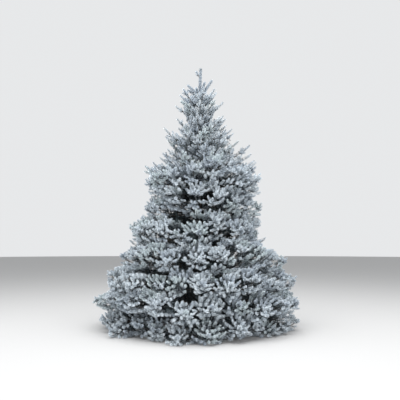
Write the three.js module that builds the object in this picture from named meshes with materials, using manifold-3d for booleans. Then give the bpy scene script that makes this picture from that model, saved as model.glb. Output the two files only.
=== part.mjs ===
// A blue spruce rooted in the ground: one tapering trunk from a flared, flat foot to the tip of
// its leader, the main boughs of the lower crown, and the needles as masses in tiers.
// Millimetres, +Z up. The origin is the centre of the trunk's flat cut at ground level.

import * as THREE from "three";
import { mergeVertices } from "three/addons/utils/BufferGeometryUtils.js";
import Module from "manifold-3d";

// The trunk
const TREE_HEIGHT = 4900;
const STEM_RADIUS = 78; // just above the root flare
const TIP_RADIUS = 4;
const STEM_TAPER = 1.05;
const FLARE_RADIUS = 46; // what the flare adds at the ground
const FLARE_FADE = 110; // height over which the flare dies away
const FLARE_LOBES = 4;
const FLARE_LOBE_DEPTH = 0.3; // share of the flare that swings between root and hollow
const STEM_SWAY = 7;
const SWAY_TURN = 6; // radians by which the sway winds round on the way up
const TRUNK_SIDES = 12;
const FLARE_RINGS = [0, 45, 100, 180, 300]; // heights of the trunk's rings round the flare
const STEM_RINGS = 12; // and how many more share the height above it

// Room between pieces
const SEAT_GAP = 0.4; // between a piece and the wood that carries it
const PARTING = 0.022; // gap between neighbouring masses, as a share of the tier's radius
const PARTING_LEAST = 9; // and what is added to it
const GROUND_CLEARANCE = 14;

// The tiers of the crown, from the ground up. Each has its number of masses, the turn of the first
// one in degrees, the height where its boughs leave the trunk, the height and radius of its rim,
// how far the rim stands off to the right (+X), and the share of the mass's thickness at which
// the rim lies: half way up a level tier, near the top of one that rises to its tips.
const TIERS = [
  { masses: 5, turn: -86, hub: 330, rim: 215, radius: 1900, lean: -10, rimAt: 0.4 },
  { masses: 5, turn: -112, hub: 610, rim: 540, radius: 1985, lean: -5, rimAt: 0.4 },
  { masses: 5, turn: -74, hub: 930, rim: 905, radius: 1825, lean: -70, rimAt: 0.4 },
  { masses: 4, turn: -110, hub: 1270, rim: 1320, radius: 1600, lean: 0, rimAt: 0.45 },
  { masses: 4, turn: -72, hub: 1640, rim: 1780, radius: 1300, lean: -50, rimAt: 0.5 },
  { masses: 3, turn: -98, hub: 2040, rim: 2280, radius: 1100, lean: 35, rimAt: 0.55 },
  { masses: 3, turn: -50, hub: 2450, rim: 2790, radius: 1110, lean: 85, rimAt: 0.6 },
  { masses: 3, turn: -105, hub: 2860, rim: 3220, radius: 930, lean: 70, rimAt: 0.6 },
  { masses: 3, turn: -65, hub: 3280, rim: 3620, radius: 650, lean: 0, rimAt: 0.6 },
  { masses: 2, turn: -60, hub: 3760, rim: 4200, radius: 420, lean: 0, rimAt: 0.6 },
  { masses: 2, turn: -135, hub: 4250, rim: 4520, radius: 255, lean: 0, rimAt: 0.65 },
];
const TOP_HUB = 4400; // the highest needles of the last tier, at the trunk
const TOP_RIM = 4660; // and at its rim
const SKIRT_HUB = 190; // the underside of the lowest tier at its boughs
const SKIRT_TOUCH = 1450; // radius where that underside comes down to the ground

// The shape of a mass, as shares of its tier's radius
const UNDER_TUCK = 0.055; // how far its underside draws in from the rim
const OVER_TUCK = 0.13; // and its upper side
const SIDE_TUCK = 0.06; // and its two ends
const FAN_DEPTH = 0.075; // of the hollows between the fans of boughs along its rim
const REACH_SPREAD = 0.025; // by which one mass stands out further than the next
const WAVE = 0.022; // rise and fall of the surfaces between the tiers, at the rim
const FAN_WIDTH = 640; // of one fan, in millimetres
const FEWEST_FANS = 3;
const SEGMENTS_PER_FAN = 2;
const LONG_WAVES = { count: 5, share: 0.6 }; // round the tree
const SHORT_WAVES = { count: 9, share: 0.4 };
const NARROW = 2; // masses in a tier too narrow for waves
const CORE_RADIUS = 2; // where a mass without a bough would end, inside the trunk

// The boughs, one to a mass in the tiers whose inside is bare
const BARE_RADII = [760, 740, 640, 500]; // how far out the masses of those tiers begin
const BOUGH_RADIUS = 27; // of a bough as long as the widest tier, at the trunk
const BOUGH_SPREAD = 0.12; // share by which boughs differ in thickness
const BOUGH_TAPER = 0.62; // radius at the mass over radius at the trunk
const BOUGH_COLLAR = 1.35;
const BOUGH_ARCH = 42; // rise of the bough's middle over a straight line
const BOUGH_ARCH_AT = 0.55; // share of its length where it is highest
const BOUGH_BOW = 34; // the most that its middle stands to one side
const BOUGH_STAGGER = 38; // the most that a bough leaves the trunk above or below its whorl
const BOUGH_SIDES = 7;
const BOUGH_SPANS = 4;
const BOUGH_COLLAR_SPANS = 1; // of them inside the collar
const STAGGER_SALT = 7; // these two keep one bough's stagger and bow apart
const BOW_SALT = 3;

const GOLDEN_ANGLE = 2.39996; // radians from one bud to the next round a stem
const SCATTER = { index: 12.9898, salt: 78.233, stretch: 43758.5453 };
const WIDEST = Math.max(...TIERS.map((tier) => tier.radius));

const wasm = await Module();
wasm.setup();

const lerp = THREE.MathUtils.lerp;
const degrees = THREE.MathUtils.degToRad;

// A repeatable spread of values from -1 to 1, one for each pair of whole numbers.
function scatter(index, salt) {
  const value = Math.sin(index * SCATTER.index + salt * SCATTER.salt) * SCATTER.stretch;
  return 2 * (value - Math.floor(value)) - 1;
}

// A closed skin over a row of rings, each a list of points that runs the same way round.
function skinOver(rings) {
  const sides = rings[0].length;
  const centres = [rings[0], rings[rings.length - 1]].map((ring) =>
    ring.reduce((sum, p) => sum.add(p), new THREE.Vector3()).divideScalar(sides),
  );
  const positions = [];
  const face = (...points) => points.forEach((p) => positions.push(p.x, p.y, p.z));
  for (let i = 0; i < sides; i++) {
    const next = (i + 1) % sides;
    face(centres[0], rings[0][next], rings[0][i]);
    face(centres[1], rings[rings.length - 1][i], rings[rings.length - 1][next]);
    for (let k = 0; k + 1 < rings.length; k++) {
      const [low, high] = [rings[k], rings[k + 1]];
      face(low[i], low[next], high[next]);
      face(low[i], high[next], high[i]);
    }
  }
  return new THREE.BufferGeometry().setAttribute(
    "position",
    new THREE.Float32BufferAttribute(positions, 3),
  );
}

// The solid inside a closed geometry, for cutting.
function solidOf(geometry) {
  const bare = geometry.clone();
  bare.deleteAttribute("normal");
  bare.deleteAttribute("uv");
  const merged = mergeVertices(bare, 1e-3);
  return new wasm.Manifold(
    new wasm.Mesh({
      numProp: 3,
      vertProperties: new Float32Array(merged.attributes.position.array),
      triVerts: new Uint32Array(merged.index.array),
    }),
  );
}

// The geometry of a cut solid. Its largest piece is kept, without the crumbs that a cut can leave.
function geometryOf(solid) {
  const largest = solid.decompose().sort((a, b) => b.volume() - a.volume())[0];
  const { vertProperties, triVerts } = largest.getMesh();
  const geometry = new THREE.BufferGeometry();
  geometry.setAttribute("position", new THREE.BufferAttribute(vertProperties, 3));
  geometry.setIndex(new THREE.BufferAttribute(triVerts, 1));
  return geometry;
}

function trunkRadius(height, angle) {
  const left = 1 - height / TREE_HEIGHT;
  const stem = TIP_RADIUS + (STEM_RADIUS - TIP_RADIUS) * left ** STEM_TAPER;
  const root = 1 + FLARE_LOBE_DEPTH * Math.cos(FLARE_LOBES * angle);
  return stem + FLARE_RADIUS * root * Math.exp(-height / FLARE_FADE);
}

// The trunk's centre at a height: a slight sway that is nothing at the ground and at the tip.
function trunkCentre(height) {
  const share = height / TREE_HEIGHT;
  const sway = STEM_SWAY * Math.sin(Math.PI * share);
  const turn = SWAY_TURN * share;
  return new THREE.Vector3(sway * Math.cos(turn), sway * Math.sin(turn), height);
}

// The trunk's skin, pushed out by a margin where a piece has to be cut clear of it.
function trunkGeometry(margin) {
  const flareTop = FLARE_RINGS[FLARE_RINGS.length - 1];
  const stem = Array.from({ length: STEM_RINGS }, (_, i) =>
    lerp(flareTop, TREE_HEIGHT, (i + 1) / STEM_RINGS),
  );
  const rings = [...FLARE_RINGS, ...stem].map((height) =>
    Array.from({ length: TRUNK_SIDES }, (_, i) => {
      const angle = (2 * Math.PI * i) / TRUNK_SIDES;
      const radius = trunkRadius(height, angle) + margin;
      return trunkCentre(height).add(
        new THREE.Vector3(Math.cos(angle), Math.sin(angle), 0).multiplyScalar(radius),
      );
    }),
  );
  return skinOver(rings);
}

const clearOfTrunk = solidOf(trunkGeometry(SEAT_GAP));

// The rise or fall of the surface under tier k in a direction, from about -1 to 1. The narrow
// tiers at the top of the crown part evenly.
function wave(k, angle) {
  if (TIERS[k].masses <= NARROW) return 0;
  return (
    LONG_WAVES.share * Math.sin(LONG_WAVES.count * angle + GOLDEN_ANGLE * k) +
    SHORT_WAVES.share * Math.sin(SHORT_WAVES.count * angle - 2 * GOLDEN_ANGLE * k)
  );
}

// The height of the surface between tier k - 1 and tier k, at a radius and in a direction.
function partingHeight(k, radius, angle) {
  if (k === 0) {
    const share = (radius - BARE_RADII[0]) / (SKIRT_TOUCH - BARE_RADII[0]);
    return lerp(SKIRT_HUB, 0, THREE.MathUtils.smoothstep(share, 0, 1));
  }
  const below = TIERS[k - 1];
  if (k === TIERS.length) {
    return lerp(TOP_HUB, TOP_RIM, radius / below.radius);
  }
  const above = TIERS[k];
  const reach = (below.radius + above.radius) / 2;
  const hub = (below.hub + above.hub) / 2;
  const rim = (below.rim + above.rim) / 2;
  return lerp(hub, rim + WAVE * reach * wave(k, angle), radius / reach);
}

// The direction that mass number n of tier k points in, in radians.
function bearing(k, n) {
  return degrees(TIERS[k].turn) + (2 * Math.PI * n) / TIERS[k].masses;
}

// How far a mass of tier k reaches from the trunk, at a share of the way from its middle to its
// sides and at a share of its thickness.
function massReach(k, n, fans, side, up) {
  const { radius, lean, rimAt, masses } = TIERS[k];
  const under = Math.max(0, (rimAt - up) / rimAt);
  const over = Math.max(0, (up - rimAt) / (1 - rimAt));
  const phase = scatter(k, n) + up;
  const hollow = 0.5 - 0.5 * Math.cos(fans * Math.PI * (side + 1) + phase);
  const loss =
    UNDER_TUCK * under ** 2 + OVER_TUCK * over ** 2 + SIDE_TUCK * side ** 4 + FAN_DEPTH * hollow;
  const own = 1 - REACH_SPREAD * (1 + scatter(n, k));
  const angle = bearing(k, n) + (Math.PI / masses) * side;
  return radius * own * (1 - loss) + lean * Math.cos(angle);
}

// Mass number n of tier k: a sector of the crown whose rim is broken into fans. It is a box bent
// to shape: X runs out from the trunk, Y from side to side and Z from underside to top.
function massGeometry(k, n) {
  const tier = TIERS[k];
  const half = Math.PI / tier.masses;
  const bare = BARE_RADII[k];
  const parting = PARTING * tier.radius + PARTING_LEAST;
  const standOff = parting / 2 / Math.sin(half);
  const fans = Math.max(FEWEST_FANS, Math.round((2 * half * tier.radius) / FAN_WIDTH));
  const box = new THREE.BoxGeometry(1, 2, 1, 2, SEGMENTS_PER_FAN * fans, 3);
  const place = box.attributes.position;
  for (let i = 0; i < place.count; i++) {
    const side = place.getY(i);
    const up = place.getZ(i) + 0.5;
    const angle = half * side;
    const ray = new THREE.Vector2(Math.cos(angle), Math.sin(angle));
    const apex = new THREE.Vector2(standOff, 0);
    const start = bare
      ? new THREE.Vector2(bare, (bare - standOff) * Math.tan(angle))
      : apex.clone().addScaledVector(ray, CORE_RADIUS);
    const end = apex.addScaledVector(ray, massReach(k, n, fans, side, up) - standOff);
    const flat = start.lerp(end, place.getX(i) + 0.5);
    const radius = flat.length();
    const direction = bearing(k, n) + flat.angle();
    const bottom = partingHeight(k, radius, direction) + parting / 2;
    const top = partingHeight(k + 1, radius, direction) - parting / 2;
    place.setXYZ(i, flat.x, flat.y, lerp(Math.max(GROUND_CLEARANCE, bottom), top, up));
  }
  box.rotateZ(bearing(k, n));
  return bare ? box : geometryOf(solidOf(box).subtract(clearOfTrunk));
}

// The bough that carries mass number n of tier k, from the trunk's bark to the mass's inner face.
function boughGeometry(k, n) {
  const tier = TIERS[k];
  const heading = bearing(k, n);
  const bare = BARE_RADII[k];
  const seat = (partingHeight(k, bare, heading) + partingHeight(k + 1, bare, heading)) / 2;
  const thick = BOUGH_RADIUS * (tier.radius / WIDEST) * (1 + BOUGH_SPREAD * scatter(k, n));
  const start = new THREE.Vector3(0, 0, tier.hub + BOUGH_STAGGER * scatter(n, k + STAGGER_SALT));
  const end = new THREE.Vector3(bare - SEAT_GAP, 0, seat);
  const middle = start.clone().lerp(end, BOUGH_ARCH_AT);
  middle.y += BOUGH_BOW * scatter(n, k + BOW_SALT);
  middle.z += BOUGH_ARCH;
  const path = new THREE.QuadraticBezierCurve3(start, middle, end);
  const rings = [];
  for (let i = 0; i <= BOUGH_SPANS; i++) {
    const share = i / BOUGH_SPANS;
    const along = i === BOUGH_SPANS ? new THREE.Vector3(1, 0, 0) : path.getTangent(share);
    const sideways = new THREE.Vector3(-along.y, along.x, 0).normalize();
    const upward = along.clone().cross(sideways);
    const collar = i <= BOUGH_COLLAR_SPANS ? BOUGH_COLLAR : 1;
    const radius = thick * lerp(1, BOUGH_TAPER, share) * collar;
    rings.push(
      Array.from({ length: BOUGH_SIDES }, (_, j) => {
        const angle = (2 * Math.PI * j) / BOUGH_SIDES + GOLDEN_ANGLE * n;
        return path
          .getPoint(share)
          .addScaledVector(sideways, radius * Math.cos(angle))
          .addScaledVector(upward, radius * Math.sin(angle));
      }),
    );
  }
  const bough = skinOver(rings).rotateZ(heading);
  return geometryOf(solidOf(bough).subtract(clearOfTrunk));
}

const bark = new THREE.MeshStandardMaterial({ color: 0x6b5a4c, roughness: 0.95 });
const boughBark = new THREE.MeshStandardMaterial({ color: 0x7a6350, roughness: 0.9 });
const needles = new THREE.MeshStandardMaterial({ color: 0x9fb0bf, roughness: 0.7 });

const tree = new THREE.Group();

function add(name, geometry, material) {
  const mesh = new THREE.Mesh(geometry, material);
  mesh.name = name;
  tree.add(mesh);
}

add("trunk", trunkGeometry(0), bark);
TIERS.forEach((tier, k) => {
  for (let n = 0; n < tier.masses; n++) {
    if (BARE_RADII[k]) add(`bough_${k + 1}_${n + 1}`, boughGeometry(k, n), boughBark);
    add(`foliage_${k + 1}_${n + 1}`, massGeometry(k, n), needles);
  }
});

export default tree;
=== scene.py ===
"""A blue spruce as it looks: bark, boughs, twigs, buds and needles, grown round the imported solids.

Every length is in metres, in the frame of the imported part: +Z up, the origin at the centre of the
trunk's flat cut at ground level. The limbs follow the solids, and what grows on from them ends at
the surface of the masses of needles, so the crown keeps its outline and its gaps.
"""

import logging
import math
from dataclasses import dataclass, field, replace
from enum import Enum, IntEnum

import bpy
import numpy as np
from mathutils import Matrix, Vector
from mathutils.bvhtree import BVHTree


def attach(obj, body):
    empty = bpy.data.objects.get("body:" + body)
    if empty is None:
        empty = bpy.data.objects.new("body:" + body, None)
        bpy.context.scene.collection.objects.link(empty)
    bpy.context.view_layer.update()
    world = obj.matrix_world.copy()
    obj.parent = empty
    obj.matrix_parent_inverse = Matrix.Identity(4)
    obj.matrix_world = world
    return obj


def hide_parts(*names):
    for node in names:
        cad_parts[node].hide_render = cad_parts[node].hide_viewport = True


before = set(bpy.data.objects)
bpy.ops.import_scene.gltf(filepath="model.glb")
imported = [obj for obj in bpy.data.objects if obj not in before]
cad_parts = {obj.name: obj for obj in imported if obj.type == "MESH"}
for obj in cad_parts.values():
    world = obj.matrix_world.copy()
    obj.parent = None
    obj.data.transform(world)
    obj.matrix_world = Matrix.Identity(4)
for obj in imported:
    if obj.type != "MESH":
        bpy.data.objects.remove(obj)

LOG = logging.getLogger("blue_spruce")
SEED = 53
GOLDEN_ANGLE = 2.399963  # radians from one needle or bough to the next round a stem
UP = np.array((0.0, 0.0, 1.0))
LEAST_HEIGHT = 0.002  # of a twig or a needle over the ground
WHOLE = 1.0  # longer than any shoot, so that all of it is young or bears needles

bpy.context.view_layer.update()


class Tint(Enum):
    """The colours that needles come in, from this year's waxy bloom to the painted shade of the
    inside.
    """

    FROST = 0
    SILVER = 1
    STEEL = 2
    SAGE = 3
    # older needles, also the painted shade on shaded twigs and at the feet of shoots
    AGED = 4
    # painted shade: near-black needles for the deep inside of the crown
    DEEP = 5


@dataclass(frozen=True)
class PlainFinish:
    """A finish of one plain colour, for needles, twigs, buds and the floor."""

    name: str  # the material's name
    colour: tuple[float, float, float]  # linear base colour
    roughness: float  # how dull the surface is
    shine: float = 0.35  # how strongly it reflects, where 0.5 is usual

    def material(self) -> bpy.types.Material:
        """Build the material, with its colour set on the shader itself.

        Returns:
            The material.
        """
        made = bpy.data.materials.new(self.name)
        made.use_nodes = True
        shader = made.node_tree.nodes["Principled BSDF"]
        shader.inputs["Base Color"].default_value = (*self.colour, 1.0)
        shader.inputs["Roughness"].default_value = self.roughness
        shader.inputs["Specular IOR Level"].default_value = self.shine
        return made


NEEDLE_FINISHES = {
    Tint.FROST: PlainFinish("needle_frost", (0.62, 0.675, 0.715), 0.62),
    Tint.SILVER: PlainFinish("needle_silver", (0.56, 0.615, 0.66), 0.60),
    Tint.STEEL: PlainFinish("needle_steel", (0.46, 0.515, 0.57), 0.58),
    Tint.SAGE: PlainFinish("needle_sage", (0.535, 0.60, 0.625), 0.60),
    # old needles' tint, made darker than their own colour as painted shade for the gaps
    Tint.AGED: PlainFinish("needle_aged", (0.042, 0.060, 0.066), 0.62),
    # painted shade: near-black, for the deep inside of the crown
    Tint.DEEP: PlainFinish("needle_deep", (0.012, 0.019, 0.021), 0.70),
}
# twig bark, darker than its own brown so that twigs in the gaps look shaded: partly painted shade
TWIG_FINISH = PlainFinish("twig_brown", (0.050, 0.042, 0.036), 0.75)
BUD_FINISH = PlainFinish("bud_scale", (0.21, 0.15, 0.105), 0.65)
FLOOR_FINISH = PlainFinish("floor", (0.42, 0.42, 0.42), 0.95)


def unit(vectors: np.ndarray) -> np.ndarray:
    """Scale vectors, one in each row or a single one, to length 1."""
    length = np.linalg.norm(vectors, axis=-1, keepdims=True)
    return vectors / np.maximum(length, 1e-9)


def heading_of(angle: float) -> np.ndarray:
    """Return the level direction at an angle about the trunk, in radians."""
    return np.array((math.cos(angle), math.sin(angle), 0.0))


def distance_out(points: np.ndarray) -> np.ndarray:
    """Return how far points stand from the trunk's axis."""
    return np.hypot(points[..., 0], points[..., 1])


def outward_at(points: np.ndarray) -> np.ndarray:
    """Return the level direction from the trunk's axis to points."""
    return unit(points * (1, 1, 0))


def half_turn(angle: np.ndarray) -> np.ndarray:
    """Bring angles in radians into the half turn to either side of zero."""
    return (angle + math.pi) % (2 * math.pi) - math.pi


def sideways_and_up(along: np.ndarray) -> tuple[np.ndarray, np.ndarray]:
    """Return the level direction across directions of growth, and the one above them."""
    level = unit(np.cross(along, UP) + np.array((1e-4, 0.0, 0.0)))
    return level, np.cross(level, along)


def spokes(along: np.ndarray, sides: int) -> np.ndarray:
    """Set unit spokes at equal angles round directions of growth.

    Args:
        along: the directions.
        sides: spokes to each.

    Returns:
        The spokes, with one more axis than the directions have.
    """
    level, above = sideways_and_up(along)
    turn = 2 * math.pi * np.arange(sides) / sides
    return np.cos(turn)[:, None] * level[..., None, :] + np.sin(turn)[:, None] * above[..., None, :]


def smooth_curve(
    start: np.ndarray, leave: np.ndarray, end: np.ndarray, arrive: np.ndarray, share: np.ndarray
) -> tuple[np.ndarray, np.ndarray]:
    """Follow smooth curves from start to end.

    Args:
        start: where each curve begins.
        leave: its direction and pull there.
        end: where it ends.
        arrive: its direction and pull there.
        share: how far along each curve, from 0 to 1.

    Returns:
        The points, and the unit directions of growth at them.
    """
    t = share[..., None]
    point = (
        (2 * t**3 - 3 * t**2 + 1) * start
        + (t**3 - 2 * t**2 + t) * leave
        + (3 * t**2 - 2 * t**3) * end
        + (t**3 - t**2) * arrive
    )
    slope = (
        (6 * t**2 - 6 * t) * (start - end)
        + (3 * t**2 - 4 * t + 1) * leave
        + (3 * t**2 - 2 * t) * arrive
    )
    return point, unit(slope)


def thin_out(points: np.ndarray, spacing: np.ndarray) -> list[int]:
    """Pick points, in the order they come, so that none is too near one picked before.

    Args:
        points: the candidates.
        spacing: the room that each one needs, at least.

    Returns:
        The picked points' numbers.
    """
    cell = float(spacing.max())
    places = np.floor(points / cell).astype(int)
    grid: dict[tuple[int, int, int], list[int]] = {}
    steps = [(x, y, z) for x in (-1, 0, 1) for y in (-1, 0, 1) for z in (-1, 0, 1)]
    picked = []
    for i, (x, y, z) in enumerate(places.tolist()):
        near = [j for a, b, c in steps for j in grid.get((x + a, y + b, z + c), ())]
        if near and ((points[near] - points[i]) ** 2).sum(1).min() < spacing[i] ** 2:
            continue
        grid.setdefault((x, y, z), []).append(i)
        picked.append(i)
    return picked


def triangle_mesh(
    name: str, points: np.ndarray, triangles: np.ndarray, worn: np.ndarray | None = None
) -> bpy.types.Object:
    """Make a mesh object from arrays.

    Args:
        name: the object's name.
        points: its vertices.
        triangles: three vertex numbers in each row.
        worn: the number of each triangle's material, if there is more than one.

    Returns:
        The new object, at the origin.
    """
    mesh = bpy.data.meshes.new(name)
    mesh.vertices.add(len(points))
    mesh.vertices.foreach_set("co", points.astype(np.float32).ravel())
    mesh.loops.add(triangles.size)
    mesh.loops.foreach_set("vertex_index", triangles.astype(np.int32).ravel())
    mesh.polygons.add(len(triangles))
    mesh.polygons.foreach_set("loop_start", np.arange(0, triangles.size, 3, dtype=np.int32))
    if worn is not None:
        mesh.polygons.foreach_set("material_index", worn.astype(np.int32))
    mesh.update(calc_edges=True)
    made = bpy.data.objects.new(name, mesh)
    bpy.context.scene.collection.objects.link(made)
    return made


def number_copies(one: list[tuple[int, int, int]], points: int, count: int) -> np.ndarray:
    """Number the triangles of many copies of a small shape.

    Args:
        one: the triangles of a single copy.
        points: how many points it has.
        count: how many copies there are.

    Returns:
        The triangles of all copies, with three vertex numbers in each row.
    """
    return (np.array(one)[None] + points * np.arange(count)[:, None, None]).reshape(-1, 3)


class Fact(IntEnum):
    """The columns that hold what is known of each stem."""

    FOOT_RADIUS = 0
    TIP_RADIUS = 1
    LENGTH = 2
    YOUNG = 3
    CLOTHED = 4
    THICKLY = 5
    TINT = 6


@dataclass
class Stems:
    """Slender curved stems, gathered one at a time and then turned into meshes all at once.

    Attributes:
        curves: the start, leave, end and arrive of each stem, as in smooth_curve.
        facts: what is known of each stem, in the columns that Fact names.
    """

    curves: list[np.ndarray] = field(default_factory=list)
    facts: list[tuple[float, ...]] = field(default_factory=list)

    def add(
        self,
        start: np.ndarray,
        leave: np.ndarray,
        end: np.ndarray,
        arrive: np.ndarray,
        radii: tuple[float, float],
        young: float,
        clothed: float,
        tint: Tint,
        thickly: float = 1.0,
    ) -> None:
        """Add one stem.

        Args:
            start: where it begins.
            leave: its unit direction there.
            end: its tip.
            arrive: its unit direction there.
            radii: its radius at the start and at the tip.
            young: length of this year's growth, from the tip back.
            clothed: length that bears needles, from the tip back.
            tint: the tint of this year's needles.
            thickly: how closely the needles stand, as a share of the usual.
        """
        length = float(np.linalg.norm(end - start))
        self.curves.append(np.array((start, leave * length, end, arrive * length)))
        clothed = min(clothed, length)
        young = min(young, clothed)
        self.facts.append((*radii, length, young, clothed, thickly, tint.value))

    def arrays(self) -> tuple[np.ndarray, np.ndarray]:
        """Return all the curves and all the facts, a stem in each row."""
        return np.array(self.curves), np.array(self.facts)


@dataclass(frozen=True)
class TwigMaker:
    """Turns stems into thin closed tubes."""

    spans: int  # straight lengths in each tube
    sides: int = 3

    def build(self, name: str, curves: np.ndarray, facts: np.ndarray) -> bpy.types.Object:
        """Make one mesh of all these stems.

        Args:
            name: the object's name.
            curves: the stems' curves.
            facts: the stems' facts.

        Returns:
            The joined twigs.
        """
        count, rings = len(curves), self.spans + 1
        share = np.broadcast_to(np.linspace(0, 1, rings), (count, rings))
        centre, along = smooth_curve(*(curves[:, i, None] for i in range(4)), share)
        foot, tip = facts[:, Fact.FOOT_RADIUS, None], facts[:, Fact.TIP_RADIUS, None]
        radius = foot + (tip - foot) * share
        points = centre[:, :, None] + radius[:, :, None, None] * spokes(along, self.sides)
        points[..., 2] = np.maximum(points[..., 2], LEAST_HEIGHT)
        triangles = number_copies(self.skin(), self.sides * rings, count)
        return triangle_mesh(name, points.reshape(-1, 3), triangles)

    def skin(self) -> list[tuple[int, int, int]]:
        """Number the triangles of one tube, with both ends closed.

        Returns:
            Three vertex numbers for each triangle.
        """
        one = []
        for ring in range(self.spans):
            for i in range(self.sides):
                a, b = ring * self.sides + i, ring * self.sides + (i + 1) % self.sides
                one += [(a, a + self.sides, b + self.sides), (a, b + self.sides, b)]
        last = self.spans * self.sides
        for i in range(1, self.sides - 1):
            one += [(0, i, i + 1), (last, last + i + 1, last + i)]
        return one


@dataclass(frozen=True)
class Coat:
    """How needles clothe a stretch of stem."""

    length: float  # of a full-grown needle
    width: float  # of its blade
    per_metre: float  # needles to a metre of stem
    base_angle: float  # degrees between needle and stem where the stretch begins
    tip_angle: float  # and where it ends
    blunting: float  # the share of their length that the needles at the very tip lack
    belly: float = 0.58  # where a blade is widest, as a share of its length
    turn_stray: float = 0.3  # radians
    gather: float = 0.25  # how strongly needles gather on the upper side of the stem
    angle_stray: tuple[float, float] = (7.0, 20.0)  # degrees, and what the tip adds
    lift: float = 0.15  # how strongly they turn up
    twist: float = 0.5  # radians by which a blade is turned about its length
    sunk: float = 0.001  # how deep a needle's foot is in the stem
    lengths: tuple[float, float] = (0.85, 1.1)

    def blades(
        self,
        curves: np.ndarray,
        facts: np.ndarray,
        share: np.ndarray,
        within: np.ndarray,
        number: np.ndarray,
        rng: np.random.Generator,
    ) -> np.ndarray:
        """Place one blade for each row.

        Args:
            curves: the curve of the blade's stem.
            facts: the facts of that stem.
            share: how far along the stem it stands.
            within: how far along the clothed stretch.
            number: its place in the spiral.
            rng: where the small differences come from.

        Returns:
            The three corners of each blade: its foot, its belly and its point.
        """
        point, along = smooth_curve(*(curves[:, i] for i in range(4)), share)
        level, above = sideways_and_up(along)
        count = len(point)
        turn = GOLDEN_ANGLE * number + rng.normal(0, self.turn_stray, count)
        turn -= self.gather * np.sin(turn)
        outward = np.cos(turn)[:, None] * above + np.sin(turn)[:, None] * level
        lean = self.base_angle + (self.tip_angle - self.base_angle) * within**3
        stray = self.angle_stray[0] + self.angle_stray[1] * within**5
        lean = np.radians(lean + rng.normal(0, 1, count) * stray)
        way = np.cos(lean)[:, None] * along + np.sin(lean)[:, None] * outward
        way = unit(way + self.lift * UP)
        across = unit(np.cross(way, outward))
        over = np.cross(across, way)
        twist = rng.normal(0, self.twist, count)
        across = np.cos(twist)[:, None] * across + np.sin(twist)[:, None] * over
        foot_radius, tip_radius = facts[:, Fact.FOOT_RADIUS], facts[:, Fact.TIP_RADIUS]
        radius = foot_radius + (tip_radius - foot_radius) * share
        foot = point + outward * (radius[:, None] - self.sunk)
        long = self.length * rng.uniform(*self.lengths, count) * (1 - self.blunting * within**6)
        reach = way * long[:, None]
        belly = foot + self.belly * reach + self.width * across
        return np.stack((foot, belly, foot + reach), axis=1)


@dataclass(frozen=True)
class NeedleMaker:
    """Clothes stems with needles, each a thin pointed blade.

    Attributes:
        scale: the needles' size, as a share of the usual.
        still_blue: the share of needles on older wood that keep their bloom.
        fresh: the coat of this year's growth.
        old: the coat of the wood behind it.
        shaded: the coat of the twigs inside the crown.
    """

    scale: float
    still_blue: float
    fresh: Coat = Coat(0.036, 0.0098, 780.0, 60.0, 34.0, 0.15)
    old: Coat = Coat(0.034, 0.0110, 160.0, 62.0, 58.0, 0.0)
    shaded: Coat = Coat(0.045, 0.0185, 88.0, 62.0, 40.0, 0.0)
    shaded_foot: float = 0.12  # share of a shoot, from its foot, where its needles take the dark tint as painted shade
    paler: float = 0.14  # share of needles a shade lighter than their spray
    darker: float = 0.12  # and a shade darker

    def build(
        self, name: str, curves: np.ndarray, facts: np.ndarray, rng: np.random.Generator
    ) -> bpy.types.Object:
        """Make one mesh of all the needles on these stems.

        Args:
            name: the object's name.
            curves: the stems' curves.
            facts: the stems' facts.
            rng: where the needles' small differences come from.

        Returns:
            The joined needles, with a material number for each tint.
        """
        length, young, clothed = (facts[:, i] for i in (Fact.LENGTH, Fact.YOUNG, Fact.CLOTHED))
        inside = facts[:, Fact.TINT] >= Tint.AGED.value
        older = clothed - young
        behind = (1 - clothed / length, 1 - young / length)
        stretches = (
            (self.fresh, young, 1 - young / length, np.ones_like(length)),
            (self.old, older * ~inside, *behind),
            (self.shaded, older * inside, *behind),
        )
        points, tints = [], []
        for coat, long, low, high in stretches:
            count = np.round(long * coat.per_metre * facts[:, Fact.THICKLY]).astype(int)
            stem = np.repeat(np.arange(len(facts)), count)
            number = np.arange(count.sum()) - np.repeat(np.cumsum(count) - count, count)
            within = (number + rng.random(len(stem))) / count[stem]
            share = low[stem] + (high - low)[stem] * within
            sized = replace(coat, length=self.scale * coat.length, width=self.scale * coat.width)
            points.append(sized.blades(curves[stem], facts[stem], share, within, number, rng))
            tint = facts[stem, Fact.TINT].astype(int)
            tints.append(self.tints_of(tint, within, coat is self.old, rng))
        blades = np.concatenate(points)
        blades[..., 2] = np.maximum(blades[..., 2], LEAST_HEIGHT)
        triangles = np.arange(len(blades) * 3).reshape(-1, 3)
        return triangle_mesh(name, blades.reshape(-1, 3), triangles, np.concatenate(tints))

    def tints_of(
        self, tint: np.ndarray, within: np.ndarray, is_old: bool, rng: np.random.Generator
    ) -> np.ndarray:
        """Choose each needle's tint: its stem's own, with a few a shade lighter or darker, and
        painted shade near each shoot's foot.

        Args:
            tint: the stem's tint, for each needle.
            within: how far along the clothed stretch each needle stands.
            is_old: whether the needles stand on the wood behind this year's growth.
            rng: where the choices come from.

        Returns:
            The number of each needle's tint.
        """
        stray = rng.random(len(tint))
        if is_old:
            return np.where(stray < self.still_blue, Tint.STEEL.value, Tint.AGED.value)
        plain = tint <= Tint.STEEL.value
        paler = np.maximum(tint - 1, Tint.FROST.value)
        darker = np.minimum(tint + 1, Tint.STEEL.value)
        dealt = np.where(plain & (stray < self.paler), paler, tint)
        dealt = np.where(plain & (stray > 1 - self.darker), darker, dealt)
        # painted shade: needles near a shoot's foot take the dark tint
        shaded = within / self.shaded_foot < rng.random(len(tint))
        return np.where(shaded, np.maximum(dealt, Tint.AGED.value), dealt)


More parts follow.
